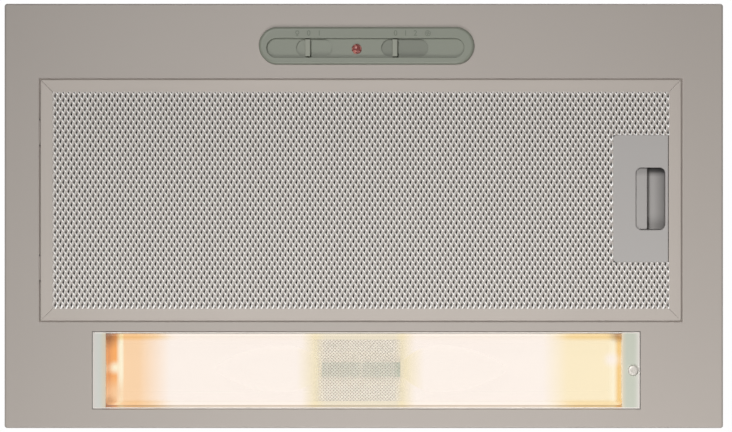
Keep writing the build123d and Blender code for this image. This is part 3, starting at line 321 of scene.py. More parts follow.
def cell_tones(material, scale):
    """Random tones in Voronoi cells: crystal patches on zinc, painted highlights on the pilot lens. The red,
    green and blue outputs differ from each other.
    """
    place = add(material, "TexCoord")
    cells = add(material, "TexVoronoi", {"Scale": scale, "Randomness": 1.0})
    wire(material, place.outputs["Object"], cells.inputs["Vector"])
    tone = add(material, "SeparateColor")
    wire(material, cells.outputs["Color"], tone.inputs["Color"])
    return tone.outputs


def galvanised_sheet():
    """Zinc-coated steel: crystal patches that differ in tone and gloss."""
    material = finish("galvanised_sheet", shade(176, 180, 184), 0.42, metal=0.5, drift=0.04)
    shader = shader_of(material)
    tone = cell_tones(material, SPANGLE_SCALE)
    wire(material, blend_colours(material, tone["Red"], ZINC_DARK, ZINC_PALE), shader.inputs["Base Color"])
    gloss = add(material, "MapRange", ZINC_GLOSS)
    wire(material, tone["Green"], gloss.inputs["Value"])
    wire(material, gloss.outputs["Result"], shader.inputs["Roughness"])
    return material


galvanised = galvanised_sheet()
print("galvanised sheet with", SPANGLE_SCALE, "spangles to the metre")

# %% Dress the plain pieces
dress(panel_paint, "face_panel")
dress(galvanised, "casing_left", "casing_right", "casing_front", "casing_back", "top_plate")
dress(rail_metal_x, "filter_rail_front", "filter_rail_back")
dress(rail_metal_y, "filter_rail_left", "filter_rail_right")
dress(wool_painted_dark, "filter_media")
dress(handle_plastic, "filter_handle", "latch_slide")
dress(bezel_plastic, "control_bezel", "light_slider", "fan_slider")
dress(black_plastic, "switch_box", "light_switch", "fan_switch", "terminal_box", "terminal_cover")
dress(black_plastic, "cable_gland", "outlet_collar", "duct_reducer", "flap_front", "flap_rear")
dress(grey_plastic, "scroll_left", "scroll_right", "impeller")
dress(capacitor_plastic, "capacitor")
dress(bright_zinc, "casing_screws", "scroll_screws", "collar_screws", "flap_pin", "motor_shaft")
dress(bright_zinc, "motor_bearings", "motor_bracket", "capacitor_clip", "cover_nut")
dress(pale_nickel, "cover_screw")
dress(spring_steel, "mounting_clips", "filter_catch_spring", "latch_spring")
dress(laminated_steel, "motor_stator", "motor_rotor")
dress(copper_wire, "motor_windings")
dress(cap_metal, "motor_cap_inner", "motor_cap_outer")
print("plain finishes on", sum(bool(o.data.materials) for o in nodes.values()), "nodes")

# %% [markdown]
# ## The lit lamp
#
# The lamp is on. Its bulbs and the reflector beside them are brighter than the picture can show, and
# the light falls off to amber at the ends of the tray, where a bend in the sheet catches it as a
# bright line. Lamp objects behind the cover could do this, but seen through clear plastic they need a
# great many samples. So the reflector glows by its own position: a colour ramp along the tray gives
# each stretch the light that it throws back, the walls along it are more amber, and a few soft spots
# stand for the corners and the glints. The ramp's places are measured in the plane of the panel, and
# the reflector lies deeper, so they are spread a little.

# %% Colours by place
def coordinates(material):
    """Object coordinates as three separate values."""
    place = add(material, "TexCoord")
    split = add(material, "SeparateXYZ")
    wire(material, place.outputs["Object"], split.inputs["Vector"])
    return split


def ramp_along(material, split, axis, low, high, stops):
    """A colour ramp along one axis between two places. Stops are (place, colour) pairs, in order."""
    span = add(material, "MapRange", {"From Min": low, "From Max": high})
    wire(material, split.outputs[axis], span.inputs["Value"])
    ramp = add(material, "ValToRGB")
    while len(ramp.color_ramp.elements) < len(stops):
        ramp.color_ramp.elements.new(0.5)
    for element, (place, colour) in zip(ramp.color_ramp.elements, stops):
        element.position = (place - low) / (high - low)
        element.color = (*colour, 1)
    wire(material, span.outputs["Result"], ramp.inputs["Fac"])
    return ramp.outputs["Color"]


def value_node(material, operation, first, second=0.0):
    """The result of a maths node on two values, each a number or a socket."""
    node = add(material, "Math", operation=operation)
    wire(material, first, node.inputs[0])
    wire(material, second, node.inputs[1])
    return node.outputs["Value"]


def eased(material, value, start, end):
    """A value that eases from 0 at the start to 1 at the end."""
    span = add(material, "MapRange", {"From Min": start, "From Max": end}, interpolation_type="SMOOTHSTEP")
    wire(material, value, span.inputs["Value"])
    return span.outputs["Result"]


def soft_spot(material, split, x, y, radius):
    """1 at an X, Y place and 0 outside a radius round it."""
    flat = add(material, "CombineXYZ")
    wire(material, split.outputs["X"], flat.inputs["X"])
    wire(material, split.outputs["Y"], flat.inputs["Y"])
    far = add(material, "VectorMath", operation="DISTANCE")
    wire(material, flat.outputs["Vector"], far.inputs[0])
    far.inputs[1].default_value = (x, y, 0)
    return eased(material, far.outputs["Value"], radius, 0.0)


def shine(material, colour, strength=1.0):
    """Gives a material light of its own, in one colour or by a colour socket."""
    wire(material, colour, shader_of(material).inputs["Emission Color"])
    shader_of(material).inputs["Emission Strength"].default_value = strength


tray_low, tray_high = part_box("lamp_tray")
print("lamp tray", [round(v / MM, 1) for v in (*tray_low, *tray_high)])

# %% Colours of the lamp's light
CREAM = shade(254, 243, 235)
AMBER = shade(224, 146, 90)
ORANGE = shade(249, 170, 96)
GOLD = shade(244, 198, 120)
BEND_GLINT = shade(255, 244, 214)
PEACH = shade(251, 212, 170)
NECK_YELLOW = shade(243, 229, 194)
BEHIND_HOLDERS = shade(236, 226, 205)
YELLOW = shade(252, 236, 200)
END_CREAM = shade(250, 226, 186)
DIM_BROWN = shade(140, 90, 58)
GLOW_STOPS = (
    (-188.0, AMBER),
    (-185.0, ORANGE),
    (-182.2, ORANGE),
    (-180.6, BEND_GLINT),
    (-178.0, BEND_GLINT),
    (-176.8, PEACH),
    (-166.0, PEACH),
    (-143.0, CREAM),
    (-46.0, CREAM),
    (-36.0, NECK_YELLOW),
    (-28.0, BEHIND_HOLDERS),
    (23.0, BEHIND_HOLDERS),
    (28.0, NECK_YELLOW),
    (38.0, CREAM),
    (132.0, CREAM),
    (150.0, YELLOW),
    (180.0, YELLOW),
    (184.5, BEND_GLINT),
    (187.6, GOLD),
    (188.8, GOLD),
    (190.2, END_CREAM),
)
GLOW_SPOTS = (
    (-189.5, 88.0, 13.0, DIM_BROWN, 0.95),
    (-183.0, 112.0, 7.0, BEND_GLINT, 1.0),
    (-181.0, 131.0, 16.0, PEACH, 0.8),
    (-189.0, 138.0, 9.0, DIM_BROWN, 0.5),
    (187.0, 87.0, 9.0, DIM_BROWN, 0.7),
    (182.5, 106.0, 8.0, CREAM, 0.9),
)
print("light along the tray:", len(GLOW_STOPS), "stops and", len(GLOW_SPOTS), "spots")

# %% Light along the tray
GLOW_LEVEL = 0.97
GLOW_REACH = 0.2
DEPTH_SPREAD = 1 / 0.983
WALL_START, WALL_FULL = 21.0 * MM, 25.5 * MM
END_START, END_FULL = 138.0 * MM, 160.0 * MM
WALL_AMBER = 0.12
WALL_TINT = (0.94, 0.79, 0.54)
DIM_GREY = shade(44, 42, 38)
DIM_SPECULAR = 0.05
cover_low, cover_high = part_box("lamp_cover")
tray_mid_y = (cover_low.y + cover_high.y) / 2


def dim_sheet(name):
    """A sheet so dim that its own light outshines what falls on it."""
    material = finish(name, DIM_GREY, 0.7, drift=0.03)
    shader_of(material).inputs["Specular IOR Level"].default_value = DIM_SPECULAR
    return material


def tray_light(material, split, spread):
    """The lamp's light as a colour by place. Spread moves the places out for a face that lies deeper."""
    stops = [(x * MM * spread, colour) for x, colour in GLOW_STOPS]
    glow = ramp_along(material, split, "X", -GLOW_REACH, GLOW_REACH, stops)
    off_line = value_node(material, "SUBTRACT", split.outputs["Y"], tray_mid_y * spread)
    to_wall = eased(material, value_node(material, "ABSOLUTE", off_line), WALL_START, WALL_FULL)
    off_centre = value_node(material, "ABSOLUTE", split.outputs["X"])
    to_end = eased(material, off_centre, END_START, END_FULL)
    amber = value_node(material, "MULTIPLY", to_wall, value_node(material, "ADD", to_end, WALL_AMBER))
    glow = blend_colours(material, amber, glow, WALL_TINT, mode="MULTIPLY")
    for x, y, radius, colour, weight in GLOW_SPOTS:
        spot = soft_spot(material, split, x * MM * spread, y * MM * spread, radius * MM)
        glow = blend_colours(material, value_node(material, "MULTIPLY", spot, weight), glow, colour)
    return glow


def lit_reflector():
    """Bright reflector sheet with the light of the two bulbs on it."""
    material = dim_sheet("lit_reflector")
    shine(material, tray_light(material, coordinates(material), DEPTH_SPREAD), GLOW_LEVEL)
    return material


print("the tray's middle line lies at y", round(tray_mid_y / MM, 1), "mm")

# %% Bulbs and lamp holders
NECK_STOPS = ((-50.0, CREAM), (-36.0, NECK_YELLOW), (31.0, NECK_YELLOW), (45.0, CREAM))
NECK_REACH = 0.12
CAP_LIT = shade(238, 225, 192)
HOLDER_STRIP = shade(158, 172, 154)
HOLDER_BODY = shade(214, 208, 194)
HOLDER_STOPS = ((-2.0, HOLDER_STRIP), (0.4, HOLDER_STRIP), (0.8, HOLDER_BODY), (20.0, HOLDER_BODY))
HOLDER_SPAN = (-0.005, 0.025)
# HOLDER_GLOW makes the holders and the bracket glow in their own colours: painted lamp light, for they are no
# lamps.
HOLDER_GLOW = 0.4


def lit_glass():
    """The bulb's satin glass, lit from inside and a little yellower at its neck."""
    material = dim_sheet("lit_bulb_glass")
    stops = [(x * MM, colour) for x, colour in NECK_STOPS]
    glow = ramp_along(material, coordinates(material), "X", -NECK_REACH, NECK_REACH, stops)
    shine(material, glow, GLOW_LEVEL)
    return material


def holder_moulding():
    """Pale ceramic with a grey-green terminal strip on its lower side, and a painted glow of lamp light in
    the same colours.
    """
    material = finish("holder_moulding", shade(206, 204, 190), 0.4, drift=0.02)
    stops = [(z * MM, colour) for z, colour in HOLDER_STOPS]
    tone = ramp_along(material, coordinates(material), "Z", *HOLDER_SPAN, stops)
    wire(material, tone, shader_of(material).inputs["Base Color"])
    shine(material, tone, HOLDER_GLOW)
    return material


def lit_cap():
    """The bulb's metal cap in the full light of the lamp."""
    material = dim_sheet("lit_cap")
    shine(material, CAP_LIT, GLOW_LEVEL)
    return material


lamplit_holder_finish = holder_moulding()
dress(galvanised, "lamp_tray")
dress(lit_glass(), "bulb_glass_left", "bulb_glass_right")
dress(lamplit_holder_finish, "lamp_holder_left", "lamp_holder_right", "lamp_holder_bracket")
dress(lit_cap(), "bulb_cap_left", "bulb_cap_right")
print("lit finishes", [m.name for m in bpy.data.materials if m.name.startswith("lit_")])

# %% [markdown]
# ## The clear cover
#
# The cover is a clear moulding, and its window hardly shows. Its rim and the ends that lie on the panel
# look faintly green, the way thick clear plastic does at an edge. They are painted paler at the rim and
# at the outer ends, as a painted highlight, and warmer next to the window, as painted lamp light. A glass
# shader would bend the light of the lamp and speckle it, and a plain alpha is calm. So the alpha follows
# the place on the cover: it is low over the tray, and high on the flanges and on the rim.

# %% Clear cover finish
FLANGE_LEFT = 9.6 * MM
FLANGE_RIGHT = 13.3 * MM
FLANGE_SIDE = 3.6 * MM
COVER_W = 403.5 * MM
# The flange colours are painted paler towards the cover's outer ends, as a painted highlight, and warmer next
# to the window, as painted lamp light.
FLANGE_EDGE_HIGHLIGHT = shade(232, 227, 220)
FLANGE_MINT = shade(224, 228, 221)
FLANGE_GREEN = shade(206, 210, 195)
FLANGE_LAMPLIGHT = shade(234, 221, 196)
FLANGE_STOPS = (
    (-199.0, FLANGE_EDGE_HIGHLIGHT),
    (-194.5, FLANGE_MINT),
    (-191.0, FLANGE_LAMPLIGHT),
    (190.6, FLANGE_LAMPLIGHT),
    (193.0, FLANGE_GREEN),
    (199.5, FLANGE_GREEN),
    (203.0, FLANGE_EDGE_HIGHLIGHT),
)
COVER_RIM = 0.9 * MM
COVER_REACH = 0.205
# The rim is painted pale: a painted highlight along the cover's edge.
RIM_HIGHLIGHT = shade(243, 236, 229)
FLANGE_ALPHA = 0.92
WINDOW_ALPHA = 0.03
cover_left = cover_high.x - COVER_W
window_low = Vector((cover_left + FLANGE_LEFT, cover_low.y + FLANGE_SIDE, 0))
window_high = Vector((cover_high.x - FLANGE_RIGHT, cover_high.y - FLANGE_SIDE, 0))


def between(material, value, low, high):
    """1 where a value lies between two limits and 0 elsewhere."""
    above = value_node(material, "GREATER_THAN", value, low)
    below = value_node(material, "LESS_THAN", value, high)
    return value_node(material, "MULTIPLY", above, below)


def clear_moulding():
    """Clear plastic, faint over the tray, with painted highlight on rim and ends and painted lamp light by
    the window.
    """
    material = finish("clear_moulding", shade(203, 211, 203), 0.14, drift=0.01, grain=400, bump=0.01)
    shader = shader_of(material)
    split = coordinates(material)
    over_tray = between(material, split.outputs["X"], window_low.x, window_high.x)
    middle_x, middle_y = (cover_left + cover_high.x) / 2, (cover_low.y + cover_high.y) / 2
    half_x, half_y = COVER_W / 2 - COVER_RIM, (cover_high.y - cover_low.y) / 2 - COVER_RIM
    inner_x = between(material, split.outputs["X"], middle_x - half_x, middle_x + half_x)
    inner_y = between(material, split.outputs["Y"], middle_y - half_y, middle_y + half_y)
    inner = value_node(material, "MULTIPLY", inner_x, inner_y)
    alpha = add(material, "MapRange", {"To Min": FLANGE_ALPHA, "To Max": WINDOW_ALPHA})
    wire(material, value_node(material, "MULTIPLY", over_tray, inner), alpha.inputs["Value"])
    wire(material, alpha.outputs["Result"], shader.inputs["Alpha"])
    stops = [(x * MM, colour) for x, colour in FLANGE_STOPS]
    flange = ramp_along(material, split, "X", -COVER_REACH, COVER_REACH, stops)
    wire(material, blend_colours(material, inner, RIM_HIGHLIGHT, flange), shader.inputs["Base Color"])
    return material


dress(clear_moulding(), "lamp_cover")
print("window", [round(v / MM, 1) for v in (*window_low.xy, *window_high.xy)])

# %% [markdown]
# ## Light in the gap round the filter
#
# The filter hangs in a well of the panel, with a gap under a millimetre wide. The paint on the walls
# of such a gap throws light to and fro more often than a render follows, and the line goes too dark.
# So the paint gets a faint glow of its own, on the walls of the gap only.

# %% Faint light on the walls of the well
BLACK = (0, 0, 0)
GAP_GLOW = 0.4
GAP_REACH = 0.9 * MM
GAP_START = 0.4 * MM
GAP_FULL = 1.2 * MM


def light_in_gap(material):
    """Adds a glow to the paint between the filter's edge and the wall of its well."""
    front_low, front_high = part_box("filter_rail_front")
    far_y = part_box("filter_rail_back")[1].y
    split = coordinates(material)
    shares = []
    for reach in (GAP_REACH, 0.0):
        along = between(material, split.outputs["X"], front_low.x - reach, front_high.x + reach)
        across = between(material, split.outputs["Y"], front_low.y - reach, far_y + reach)
        shares.append(value_node(material, "MULTIPLY", along, across))
    ring = value_node(material, "SUBTRACT", *shares)
    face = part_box("face_panel")[0].z
    deep = eased(material, split.outputs["Z"], face + GAP_START, face + GAP_FULL)
    in_gap = value_node(material, "MULTIPLY", ring, deep)
    shine(material, blend_colours(material, in_gap, BLACK, scaled(PAINT_COLOUR, GAP_GLOW)))


light_in_gap(panel_paint)
print("gap glow", GAP_GLOW, "of the paint's colour")

# %% [markdown]
# ## Pieces of our own
#
# A new piece starts as a bmesh. The first helper turns one into an object at the origin with its
# finish, lets it ride on a body of the frame and hides the CAD nodes it stands for. The others copy a
# CAD node, pick vertices and cut at a plane.

# %% Helpers for pieces
JOIN_DISTANCE = 0.002 * MM


def make_piece(name, bm, materials, body, stands_for=(), smooth_angle=None):
    """Turns a bmesh into a finished piece that rides on a body. Materials is one, or a list by face index."""
    mesh = bpy.data.meshes.new(name)
    bm.to_mesh(mesh)
    bm.free()
    for material in materials if isinstance(materials, list) else [materials]:
        mesh.materials.append(material)
    piece = bpy.data.objects.new(name, mesh)
    if smooth_angle is not None:
        mesh.shade_smooth()
        mesh.set_sharp_from_angle(angle=smooth_angle)
        piece.modifiers.new("flat_faces_stay_flat", "WEIGHTED_NORMAL").keep_sharp = True
    bpy.context.scene.collection.objects.link(piece)
    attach(piece, body)
    if stands_for:
        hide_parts(*stands_for)
    mesh.calc_loop_triangles()
    print(name, len(mesh.loop_triangles), "triangles on", body)
    return piece


def node_copy(node):
    """A bmesh copy of a CAD node with its loose triangles joined."""
    bm = bmesh.new()
    bm.from_mesh(nodes[node].data)
    bmesh.ops.remove_doubles(bm, verts=bm.verts[:], dist=JOIN_DISTANCE)
    return bm


def verts_of(geometry):
    """The vertices among the results of a bmesh operator."""
    return [part for part in geometry if isinstance(part, bmesh.types.BMVert)]


def cut(bm, place, normal, clear, only=None):
    """Cuts a bmesh at a plane and may clear what lies on the normal's side. Only tests a face's middle."""
    faces = [face for face in bm.faces if only is None or only(face.calc_center_median())]
    edges = {edge for face in faces for edge in face.edges}
    verts = {vert for face in faces for vert in face.verts}
    geometry = [*verts, *edges, *faces]
    bmesh.ops.bisect_plane(bm, geom=geometry, plane_co=place, plane_no=normal, clear_outer=clear)


def trim(bm, low, high):
    """Cuts a bmesh to the X, Y limits of two corners."""
    for axis in (Vector((1, 0, 0)), Vector((0, 1, 0))):
        cut(bm, low, -axis, True)
        cut(bm, high, axis, True)


print("CAD triangles", sum(len(node.data.polygons) for node in nodes.values()))

# %% [markdown]
# ## The reflector's sides
#
# Only the inside of the lamp tray is lit. A second sheet inside the first could carry the light, but
# each face of one mesh may have a finish of its own. So the tray is copied, and each of its faces that
# looks at the tray's middle line takes the lit finish. The flange below takes light on the lip next to
# the opening, which shows through the cover's edge, and the outside stays galvanised.

# %% Lamp tray with a lit inside
TRAY_LINE_END = 0.165
TRAY_LINE_Z = 0.01
FACES_DOWN = -0.9
INSIDE, LIP, OUTSIDE = 0, 1, 2
LIP_SPAN = (0.085, 0.144)
GAP_WARMTH = (0.14, 0.13, 0.12)
LIP_STOPS = (
    (86.4, GAP_WARMTH),
    (87.4, (1.0, 1.0, 1.0)),
    (139.4, (0.94, 0.91, 0.86)),
    (140.0, (0.42, 0.37, 0.31)),
    (140.5, (0.78, 0.73, 0.66)),
    (141.6, (0.82, 0.77, 0.72)),
    (142.6, GAP_WARMTH),
)


def lit_lip():
    """Galvanised flange with the lamp's light on its lip."""
    material = finish("lit_lip", shade(70, 68, 64), 0.6, drift=0.03)
    split = coordinates(material)
    stops = [(y * MM, share) for y, share in LIP_STOPS]
    across = ramp_along(material, split, "Y", *LIP_SPAN, stops)
    over_tray = between(material, split.outputs["X"], window_low.x, window_high.x)
    glow = blend_colours(material, over_tray, GAP_WARMTH, tray_light(material, split, 1.0))
    shine(material, blend_colours(material, over_tray, glow, across, mode="MULTIPLY"), GLOW_LEVEL)
    return material


def sided_tray():
    """The tray with its inside, lip and outside told apart."""
    bm = node_copy("lamp_tray")
    for face in bm.faces:
        centre = face.calc_center_median()
        line_x = max(-TRAY_LINE_END, min(TRAY_LINE_END, centre.x))
        to_line = Vector((line_x, tray_mid_y, TRAY_LINE_Z)) - centre
        if face.normal.z < FACES_DOWN and centre.z < 0:
            face.material_index = LIP
        else:
            face.material_index = INSIDE if face.normal.dot(to_line) > 0 else OUTSIDE
    return bm


tray_finishes = [lit_reflector(), lit_lip(), galvanised]
make_piece("tray_lit", sided_tray(), tray_finishes, "housing", ["lamp_tray"])

# %% [markdown]
# ## Prisms in the cover
#
# The cover is moulded with small prisms on its inner side, which scatter the lamp. Over the bulbs they
# drown in the light, and over the lamp holders in the middle they show as rows of dots. A bump map
# could draw the dots, but it would be flat when the cover hangs open. So they are a grid turned by 45
# degrees, cut to the window and given a point on each cell. Their colour is painted light and shade:
# the valleys are painted bright, as painted light, and the points grey, as painted shade. Their alpha
# follows the place along the cover.

# %% Prism field
PRISM_PITCH = 1.75 * MM
PRISM_BASE = 0.1 * MM
PRISM_H = 0.55 * MM
PRISM_STOPS = ((-46.0, 0.0), (-37.0, 0.06), (-29.0, 0.72), (22.0, 0.72), (30.0, 0.06), (39.0, 0.0))
PRISM_REACH = 0.2
PRISM_INSET = Vector((2.0 * MM, 2.0 * MM, 0))
SHOULDER_SHARE = 0.3
BASE_MARGIN = 0.02 * MM
# Painted light in the prisms' valleys, and painted shade towards their points.
VALLEY_LIGHT = shade(255, 250, 240)
SHOULDER_SHADE = shade(232, 224, 214)
POINT_SHADE = shade(124, 115, 106)
COVER_WALL = 1.6 * MM
COVER_INSIDE_Z = cover_low.z + COVER_WALL


def prism_plastic():
    """Clear plastic painted bright in its valleys and grey at its points: painted light and shade."""
    material = finish("prism_plastic", shade(236, 230, 220), 0.5, drift=0.02)
    shader = shader_of(material)
    split = coordinates(material)
    low, high = COVER_INSIDE_Z + PRISM_BASE, COVER_INSIDE_Z + PRISM_BASE + PRISM_H
    shoulder = low + SHOULDER_SHARE * PRISM_H
    stops = ((low, VALLEY_LIGHT), (shoulder, SHOULDER_SHADE), (high, POINT_SHADE))
    tone = ramp_along(material, split, "Z", low - PRISM_BASE, high + PRISM_BASE, stops)
    wire(material, tone, shader.inputs["Base Color"])
    over_base = value_node(material, "GREATER_THAN", split.outputs["Z"], low - BASE_MARGIN)
    stops = [(x * MM, (share, share, share)) for x, share in PRISM_STOPS]
    along = ramp_along(material, split, "X", -PRISM_REACH, PRISM_REACH, stops)
    wire(material, value_node(material, "MULTIPLY", along, over_base), shader.inputs["Alpha"])
    return material


def prism_field():
    """Small pyramids over the window, on a thin base."""
    middle = (window_low + window_high) / 2
    span = window_high - window_low
    count = int((span.x + span.y) / 2 ** 0.5 / PRISM_PITCH) + 2
    bm = bmesh.new()
    half = count * PRISM_PITCH / 2
    verts = bmesh.ops.create_grid(bm, x_segments=count, y_segments=count, size=half)["verts"]
    bmesh.ops.rotate(bm, cent=(0, 0, 0), matrix=Matrix.Rotation(pi / 4, 3, "Z"), verts=verts)
    bmesh.ops.translate(bm, vec=(middle.x, middle.y, COVER_INSIDE_Z), verts=verts)
    trim(bm, window_low + PRISM_INSET, window_high - PRISM_INSET)
    raised = bmesh.ops.extrude_face_region(bm, geom=bm.faces[:])["geom"]
    tops = [part for part in raised if isinstance(part, bmesh.types.BMFace)]
    bmesh.ops.translate(bm, vec=(0, 0, PRISM_BASE), verts=verts_of(raised))
    bmesh.ops.recalc_face_normals(bm, faces=bm.faces[:])
    bmesh.ops.poke(bm, faces=tops, offset=PRISM_H)
    return bm


make_piece("cover_prisms", prism_field(), prism_plastic(), "lamp_lid")

# %% [markdown]
# ## Expanded metal
#
# The filter's front is expanded metal: sheet that is slit in staggered rows and pulled open, so that
# each slit becomes a narrow upright diamond and each strand between two slits stands a little askew.
# A coarser sheet of the same kind closes the back. A picture with holes could stand for it, but its
# strands would have no sides to catch the light. So one cell is a rhombus with a hole. Its two sides
# lean the same way, as the pulled strands do. Rows of cells tile the sheet, which is then cut to the
# frame and round the handle, and given its thickness. Each corner of a cell also carries a light mark.
# The finish reads it and paints light and shade: a painted highlight with a faint painted glint at the
# right side and rear tip of each slit, and painted shade at its left side and front tip.

# %% One cell of a net
# Light marks at a cell's corners: high where the painted highlight goes, 0 where the painted shade goes.
HIGHLIGHT_TIP, HIGHLIGHT_SIDE, STRAND, SHADED_SIDE = 1.0, 0.66, 0.4, 0.0


def net_sizes(**sizes):
    """The sizes of one expanded sheet, from millimetres."""
    return SimpleNamespace(**{name: size * MM for name, size in sizes.items()})


def mesh_cell(net):
    """One rhombus of the sheet with its slit, about the origin."""
    bm = bmesh.new()
    light_mark = bm.verts.layers.float.new("light_mark")
    outer = bmesh.ops.create_circle(bm, segments=4, radius=1.0)["verts"]
    bmesh.ops.scale(bm, vec=(net.cell_w / 2, net.row, 1), verts=outer)
    inner = bmesh.ops.create_circle(bm, segments=4, radius=1.0)["verts"]
    bmesh.ops.scale(bm, vec=(net.slit_w / 2, net.slit_h / 2, 1), verts=inner)
    for vert in outer:
        vert[light_mark] = STRAND
    for vert in inner:
        vert[light_mark] = HIGHLIGHT_TIP if vert.co.y > net.slit_h / 4 else SHADED_SIDE
        if vert.co.x > net.slit_w / 4:
            vert.co.z = -net.lean
            vert[light_mark] = HIGHLIGHT_SIDE
        elif vert.co.x < -net.slit_w / 4:
            vert.co.z = net.lean
    bmesh.ops.bridge_loops(bm, edges=bm.edges[:])
    return bm


front_net = net_sizes(cell_w=4.0, row=3.35, slit_w=1.25, slit_h=4.3, lean=0.42, sheet=0.6)
back_net = net_sizes(cell_w=8.0, row=6.0, slit_w=4.2, slit_h=8.4, lean=0.12, sheet=0.5)
print("front cell", round(front_net.cell_w / MM, 2), "by", round(2 * front_net.row / MM, 2), "mm")

# %% Finish of the nets
NET_COLOUR = shade(200, 193, 187)
NET_HIGHLIGHT = shade(255, 254, 252)
NET_SHADE = shade(132, 126, 120)
# EDGE_GLINT is a painted glint: a faint glow on the highlighted edges.
EDGE_GLINT = (0.16, 0.158, 0.155)
HIGHLIGHT_FROM, HIGHLIGHT_FULL = 0.46, 0.72
SHADE_FROM, SHADE_FULL = 0.32, 0.05


def net_metal():
    """Aluminium with a painted highlight and glint beside each slit, and painted shade on its other side."""
    material = finish("expanded_aluminium", NET_COLOUR, 0.4, metal=0.1, patch=40, grain=2500)
    mark = add(material, "Attribute", attribute_name="light_mark").outputs["Fac"]
    # drawn is the share of painted highlight, and in_shade the share of painted shade.
    drawn = eased(material, mark, HIGHLIGHT_FROM, HIGHLIGHT_FULL)
    in_shade = eased(material, mark, SHADE_FROM, SHADE_FULL)
    tone = blend_colours(material, drawn, NET_COLOUR, NET_HIGHLIGHT)
    tone = blend_colours(material, in_shade, tone, NET_SHADE)
    wire(material, tone, shader_of(material).inputs["Base Color"])
    shine(material, blend_colours(material, drawn, BLACK, EDGE_GLINT))
    return material


mesh_metal = net_metal()
dress(mesh_metal, "filter_mesh", "filter_back_mesh")
# The drawn edges in this printout are the painted highlights.
print("drawn edges give", EDGE_GLINT[0], "of white as their own light")

# %% The two sheets
UNDER_RAIL = 0.4 * MM
SPARE_CELLS = 3
CELL_JOIN = 0.01 * MM
CUP_LEFT = 185.9 * MM
CUP_Y = (-37.0 * MM, 11.7 * MM)


def copy_along(bm, count, step):
    """Repeats all of a bmesh by whole steps."""
    source = bm.verts[:] + bm.edges[:] + bm.faces[:]
    for index in range(1, count):
        copied = bmesh.ops.duplicate(bm, geom=source)["geom"]
        bmesh.ops.translate(bm, vec=Vector(step) * index, verts=verts_of(copied))


def cut_hole(bm, low, high, margin):
    """Takes a rectangle out of a sheet. It starts at two corners and runs out at the right edge."""

    def near(middle):
        return middle.x > low.x - margin

    def beside(middle):
        return low.y < middle.y < high.y

    cut(bm, low, (0, 1, 0), False, only=near)
    cut(bm, high, (0, 1, 0), False, only=near)
    cut(bm, low, (1, 0, 0), False, only=beside)
    middles = {face: face.calc_center_median() for face in bm.faces}
    gone = [face for face, middle in middles.items() if middle.x > low.x and beside(middle)]
    bmesh.ops.delete(bm, geom=gone, context="FACES")


def expanded_sheet(net, top_z, hole_low, hole_high):
    """An expanded sheet that fills the frame, cut round a hole at its right edge."""
    left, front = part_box("filter_rail_left")[1].x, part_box("filter_rail_front")[1].y
    right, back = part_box("filter_rail_right")[0].x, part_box("filter_rail_back")[0].y
    low = Vector((left - UNDER_RAIL, front - UNDER_RAIL, 0))
    high = Vector((right + UNDER_RAIL, back + UNDER_RAIL, 0))
    bm = mesh_cell(net)
    copy_along(bm, int((high.x - low.x) / net.cell_w) + SPARE_CELLS, (net.cell_w, 0, 0))
    copy_along(bm, 2, (net.cell_w / 2, net.row, 0))
    copy_along(bm, int((high.y - low.y) / (2 * net.row)) + SPARE_CELLS, (0, 2 * net.row, 0))
    start = (low.x - net.cell_w, low.y - 2 * net.row, top_z - net.sheet - net.lean)
    bmesh.ops.translate(bm, vec=start, verts=bm.verts[:])
    bmesh.ops.remove_doubles(bm, verts=bm.verts[:], dist=CELL_JOIN)
    trim(bm, low, high)
    cut_hole(bm, hole_low, hole_high, net.cell_w)
    bmesh.ops.recalc_face_normals(bm, faces=bm.faces[:])
    bmesh.ops.solidify(bm, geom=bm.faces[:], thickness=net.sheet)
    heights = [vert.co.z / MM for vert in bm.verts]
    print("net from", round(min(heights), 2), "to", round(max(heights), 2), "mm")
    return bm


handle_low, handle_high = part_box("filter_handle")
front_sheet = expanded_sheet(front_net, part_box("filter_mesh")[1].z, handle_low, handle_high)
make_piece("expanded_front", front_sheet, mesh_metal, "filter", ["filter_mesh"])
cup_low, cup_high = Vector((CUP_LEFT, CUP_Y[0], 0)), Vector((handle_high.x, CUP_Y[1], 0))
back_sheet = expanded_sheet(back_net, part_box("filter_back_mesh")[1].z, cup_low, cup_high)
make_piece("expanded_back", back_sheet, mesh_metal, "filter", ["filter_back_mesh"])

# %% [markdown]
# ## Marks on the bezel
#
# Beside the sliders the bezel has small raised marks in a darker shade of its own colour: a lamp and a
# fan sign, and the numbers of the settings. A pattern in the plastic's finish could draw them, but it
# would have no edges to catch the light. So text objects give the numbers, with a thickness, and the
# signs are built from rings, bars and blades whose sizes are shares of the marks' height.

# %% Raised numbers
MARK_H = 4.2 * MM
MARK_RAISE = 0.18 * MM
MARK_Y = -134.5 * MM
NUMBERS = (("0", -40.6), ("1", -32.8), ("0", 23.4), ("1", 30.8), ("2", 38.0))
TEXT_SIZE = 1.35 * MARK_H
TEXT_THINNER = -0.03 * MM
BEZEL_FACE_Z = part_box("control_bezel")[0].z
mark_plastic = finish("mark_plastic", MARK_COLOUR, 0.5, drift=0.02, grain=2200)
facing_down = Matrix.Rotation(pi, 4, "X")


